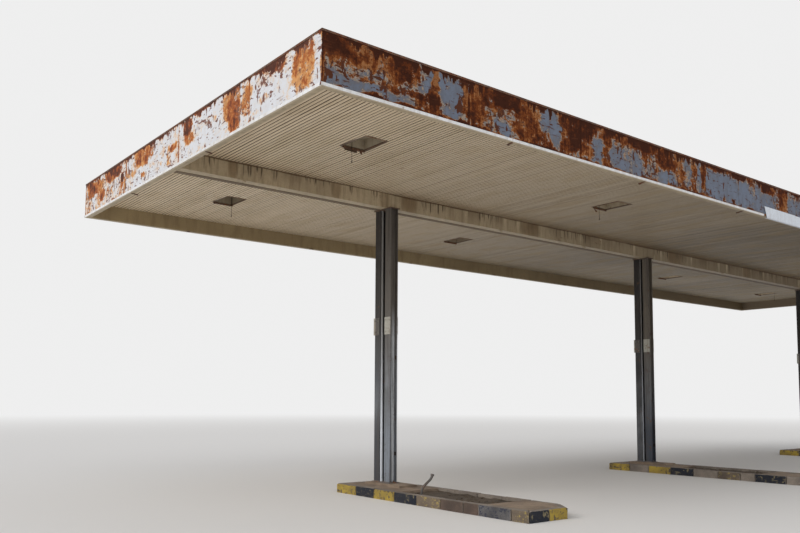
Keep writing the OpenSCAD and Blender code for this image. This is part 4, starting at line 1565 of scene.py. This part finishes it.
@dataclass
class Screws:
    """Small domed screws: over the purlins on the roof sheets, beside the joints of the fascia and on its patch."""

    finishes: Finishes
    ribs: int = 94
    rib_pitch: float = 0.25
    rib_top: float = 5.509
    fall: float = math.radians(0.7)
    purlins: Span = (0.6, 3.86)
    roof_head: Span = (0.009, 0.008)
    sheet_head: Span = (0.007, 0.006)
    rows: Trio = (5.075, 5.33, 5.605)
    beside: Span = (-0.03, 0.03)
    patch_rows: Span = (5.035, 5.165)
    patch_places: tuple[float, ...] = (-2.24, -1.80, -1.23, -1.16, -0.60, -0.04, 0.05, 0.60, 1.15)

    def set_row(self, name: str, finish: str, head: Span, places: Sequence[tuple[Sequence[float], Vector]]) -> None:
        """Copies one screw head to each place and hands the row over.

        Args:
            name: Name of the row.
            finish: Its finish.
            head: Radius and height of a head.
            places: Foot and outward direction of each screw.
        """
        radius, height = head
        screw = rod("screw_pattern", (0, 0, -0.002), radius, height, 8)
        bevel(screw, 0.0025, lambda c, d: abs(d.z) < 0.1 and c.z > 0.0045)
        self.finishes.hand_over(name, set_out(screw, [stand(foot, out) for foot, out in places]), finish, finish)

    def build(self) -> None:
        """Sets all rows of screws."""
        near, far = self.purlins
        start = 0.185 - self.ribs * self.rib_pitch / 2
        lines = [(side, near + k * (far - near) / 3) for side in (-1, 1) for k in range(4)]
        self.set_row("roof_screws", "roof_sheet", self.roof_head, [
            ((start + i * self.rib_pitch, side * y, self.rib_top + y * math.tan(self.fall)), UP)
            for side, y in lines for i in range(0, self.ribs, 2)])
        self.set_row("long_fascia_screws", "rusted_fascia", self.sheet_head, [
            ((k * PANEL - ROOF_HALF + d, side * ROOF_HALF_W, z), Vector((0, side, 0)))
            for side in (-1, 1) for k in range(1, 11) for d in self.beside for z in self.rows
            if not (side < 0 and z == self.rows[0] and k in (5, 6))])
        self.set_row("end_fascia_screws", "white_fascia", self.sheet_head, [
            ((side * ROOF_HALF, side * (PANEL * k - END_PANEL_START) + d, z), Vector((side, 0, 0)))
            for side in (-1, 1) for k in range(1, 4) for d in self.beside for z in self.rows])
        self.set_row("patch_screws", "patch_sheet", self.sheet_head, [
            ((x, -ROOF_HALF_W - 0.014, z), Vector((0, -1, 0))) for x in self.patch_places for z in self.patch_rows])


@dataclass
class TornBits:
    """Thin strips of sheet that hang loose at the beam and the light openings, and the trim's rusty joint straps."""

    finishes: Finishes
    sheet: float = 0.0015
    far_edge: float = LIGHT_HALF[1] - LIGHT_Y
    trim: Span = (11.968, 4.104)

    def strip(self, length: float, width: float, thick: float, bend: float, place: Matrix) -> Piece:
        """Models a bent strip along X from 0 and puts it in its place.

        Args:
            length: Length in metres.
            width: Width in metres.
            thick: Thickness in metres.
            bend: How far it is bent over its length, in radians.
            place: Where it goes.

        Returns:
            The strip.
        """
        piece = box("strip", (0, -width / 2, 0), (length, width / 2, thick))
        score(piece, 0, 0.0, length, 8)
        bevel(piece, thick * 0.3, lambda c, d: abs(d.x) > 0.9)
        modify(piece, "SIMPLE_DEFORM", deform_method="BEND", deform_axis="Y", angle=bend)
        piece.data.transform(place)
        return piece

    def build(self) -> None:
        """Builds the loose strips and the straps."""
        beam = [self.strip(length, 0.022, self.sheet, 0.35, Matrix.Translation((x, -0.1515, 5.044))
                           @ Matrix.Rotation(drop, 4, "Y") @ turned(90, "X"))
                for x, length, drop in ((-10.98, 0.16, 0.30), (-5.30, 0.14, 0.36), (-2.75, 0.20, 0.26),
                                        (3.05, 0.15, 0.30))]
        self.finishes.hand_over("beam_edge_strips", beam, "beige_beam", "girder_paint")
        first, second = LIGHT_X[:2]
        y = self.far_edge
        flap = self.strip(0.225, 0.046, self.sheet, 0.12,
                          Matrix.Translation((first - 0.160, y + 0.024, 5.251)) @ turned(74, "X"))
        self.finishes.hand_over("light_flap", [flap], "ceiling_slats", "ceiling_slats")
        turn = Matrix.Rotation(0.42, 4, "Y") @ turned(90, "X")
        torn = [self.strip(0.050, 0.024, 0.002, 0.5, Matrix.Translation((first + 0.105, y + 0.010, 5.250)) @ turn),
                self.strip(0.10, 0.020, 0.002, 0.3, Matrix.Translation((second - 0.17, y + 0.01, 5.249)) @ turn)]
        self.finishes.hand_over("light_torn_strips", torn, "light_box", "frame_strip")
        self.joint_straps()

    def joint_straps(self) -> None:
        """Rusty straps under the joints of the drip trim, lying inwards with their ends bent down."""
        places = [(x, -self.trim[1], 90) for x in (-8.98, -6.03, -3.06, -0.11, 2.84, 5.79, 8.74)]
        places += [(x, self.trim[1], -90) for x in (-9.97, -7.05, -4.15, -1.25, 1.65, 4.55, 7.45, 10.35)]
        places += [(-self.trim[0], y, 0) for y in (-1.12, 1.75)]
        places += [(self.trim[0], y, 180) for y in (1.12, -1.75)]
        droop = Matrix.Rotation(0.05, 4, "Y")
        laid = [self.strip(0.125 + 0.02 * (number % 3), 0.034, 0.003, 0.12,
                           Matrix.Translation((x, y, CLEAR)) @ turned(turn, "Z") @ droop)
                for number, (x, y, turn) in enumerate(places)]
        self.finishes.hand_over("joint_straps", laid, "dark_edge", "dark_edge")


# ---------------------------------------------------------------- studio


@dataclass
class Studio:
    """Pale floor, soft light from the left and the camera at the photograph's angle."""

    spot: Trio = (-16.442, -11.167, 1.636)
    yaw: float = 0.6791
    pitch: float = 0.0825
    roll: float = 0.0041
    lens: float = 35.69
    shift: Span = (-0.0116, 0.0839)
    pale: Rgb = (0.86, 0.86, 0.86)

    def camera(self) -> None:
        """Places the camera."""
        data = bpy.data.cameras.new("camera")
        data.sensor_width, data.lens = 36.0, self.lens
        data.shift_x, data.shift_y = self.shift
        data.clip_end = 500.0
        camera = bpy.data.objects.new("camera", data)
        ahead = Vector((math.sin(self.yaw) * math.cos(self.pitch), math.cos(self.yaw) * math.cos(self.pitch),
                        math.sin(self.pitch)))
        level = Vector((math.cos(self.yaw), -math.sin(self.yaw), 0))
        right = math.cos(self.roll) * level + math.sin(self.roll) * level.cross(ahead)
        turn = Matrix((right, right.cross(ahead), -ahead)).transposed().to_4x4()
        camera.matrix_world = Matrix.Translation(self.spot) @ turn
        bpy.context.scene.collection.objects.link(camera)
        bpy.context.scene.camera = camera

    def floor(self) -> None:
        """Lays the floor, which fades into the pale background far out."""
        clear()
        bpy.ops.mesh.primitive_circle_add(vertices=64, radius=150, fill_type="NGON", location=(0, 0, -0.0005))
        floor = bpy.context.object
        floor.name = "studio_floor"
        settle(floor)
        material = bpy.data.materials.new("studio_floor")
        tree = bare_tree(material)
        matt = tree.read(0, "BsdfDiffuse", {"Color": (0.76, 0.75, 0.74)})
        glow = tree.read(0, "Emission", {"Color": self.pale, "Strength": 1.0})
        place = tree.read("Object", "TexCoord", {})
        far = tree.read("Value", "VectorMath", {0: place}, operation="LENGTH")
        fade = tree.span(far, 20.0, 75.0) * self.seen(tree)
        tree.add("OutputMaterial", {"Surface": tree.read(0, "MixShader", {0: fade, 1: matt, 2: glow})})
        floor.data.materials.append(material)

    @staticmethod
    def seen(tree: Tree) -> Signal:
        """One where the eye sees a point straight, in a reflection or through glass.

        Args:
            tree: The tree it is laid out in.

        Returns:
            The mask.
        """
        path = tree.add("LightPath", {}).outputs
        seen, glossy, clear_way = (Signal(tree, path[f"Is {ray} Ray"]) for ray in ("Camera", "Glossy", "Transmission"))
        return tree.math("MAXIMUM", seen, tree.math("MAXIMUM", glossy, clear_way))

    @staticmethod
    def sun(name: str, strength: float, spread: float, source: Sequence[float]) -> None:
        """Sets one soft sun.

        Args:
            name: Name of the lamp.
            strength: How bright it is.
            spread: How broad it is, in degrees.
            source: The direction it shines from.
        """
        data = bpy.data.lights.new(name, "SUN")
        data.energy, data.angle = strength, math.radians(spread)
        data.color = (1.0, 0.97, 0.93)
        sun = bpy.data.objects.new(name, data)
        sun.rotation_euler = Vector(source).to_track_quat("Z", "Y").to_euler()
        bpy.context.scene.collection.objects.link(sun)

    def light(self) -> None:
        """Sets an even sky, one broad sun from the left and a faint one from the front."""
        world = bpy.data.worlds.new("studio")
        tree = bare_tree(world)
        sky = tree.read(0, "Background", {"Color": (0.95, 0.97, 1.0), "Strength": 0.52})
        back = tree.read(0, "Background", {"Color": self.pale, "Strength": 1.0})
        tree.add("OutputWorld", {"Surface": tree.read(0, "MixShader", {0: self.seen(tree), 1: sky, 2: back})})
        bpy.context.scene.world = world
        self.sun("left_sun", 1.5, 40.0, (-0.86, 0.12, 0.50))
        self.sun("front_fill", 0.8, 70.0, (-0.45, -0.80, 0.42))
        bpy.context.scene.view_settings.view_transform = "Standard"


def main() -> None:
    """Builds the scene in order."""
    logging.basicConfig(level=logging.INFO, format="%(name)s: %(message)s")
    studio = Studio()
    studio.camera()
    studio.light()
    studio.floor()
    finishes = Finishes()
    finishes.dress_nodes()
    SlattedCeiling(finishes, "front_slats", "front_ceiling", -0.152, -4.003, 11).build()
    SlattedCeiling(finishes, "back_slats", "back_ceiling", 0.196, 4.003, 12).build()
    yellow, black, traces, bare, brown, grey = Coat
    coats = ((yellow, black, yellow, black, traces, brown, brown, grey, traces, black, yellow),
             (yellow, bare, yellow, black, bare, traces, bare, black, bare, black, yellow),
             (yellow, black, yellow, bare, yellow, black, traces, black, yellow, black, yellow))
    columns = zip(("left", "middle", "right"), COLUMN_X, (0.290, 0.240, 0.290), (0.026, -0.002, 0.026),
                  ((0.66, 2.33), (0.55,), ()), coats)
    for number, (side, x, gap, lean, holes, paints) in enumerate(columns):
        KerbRow(finishes, side, x, paints, 20 + number).build()
        Trough(finishes, f"{side}_trough_soil", x, 30 + number).build()
        Column(finishes, side, x, gap, lean, holes).build()
    Screws(finishes).build()
    TornBits(finishes).build()


if __name__ == "__main__":
    main()
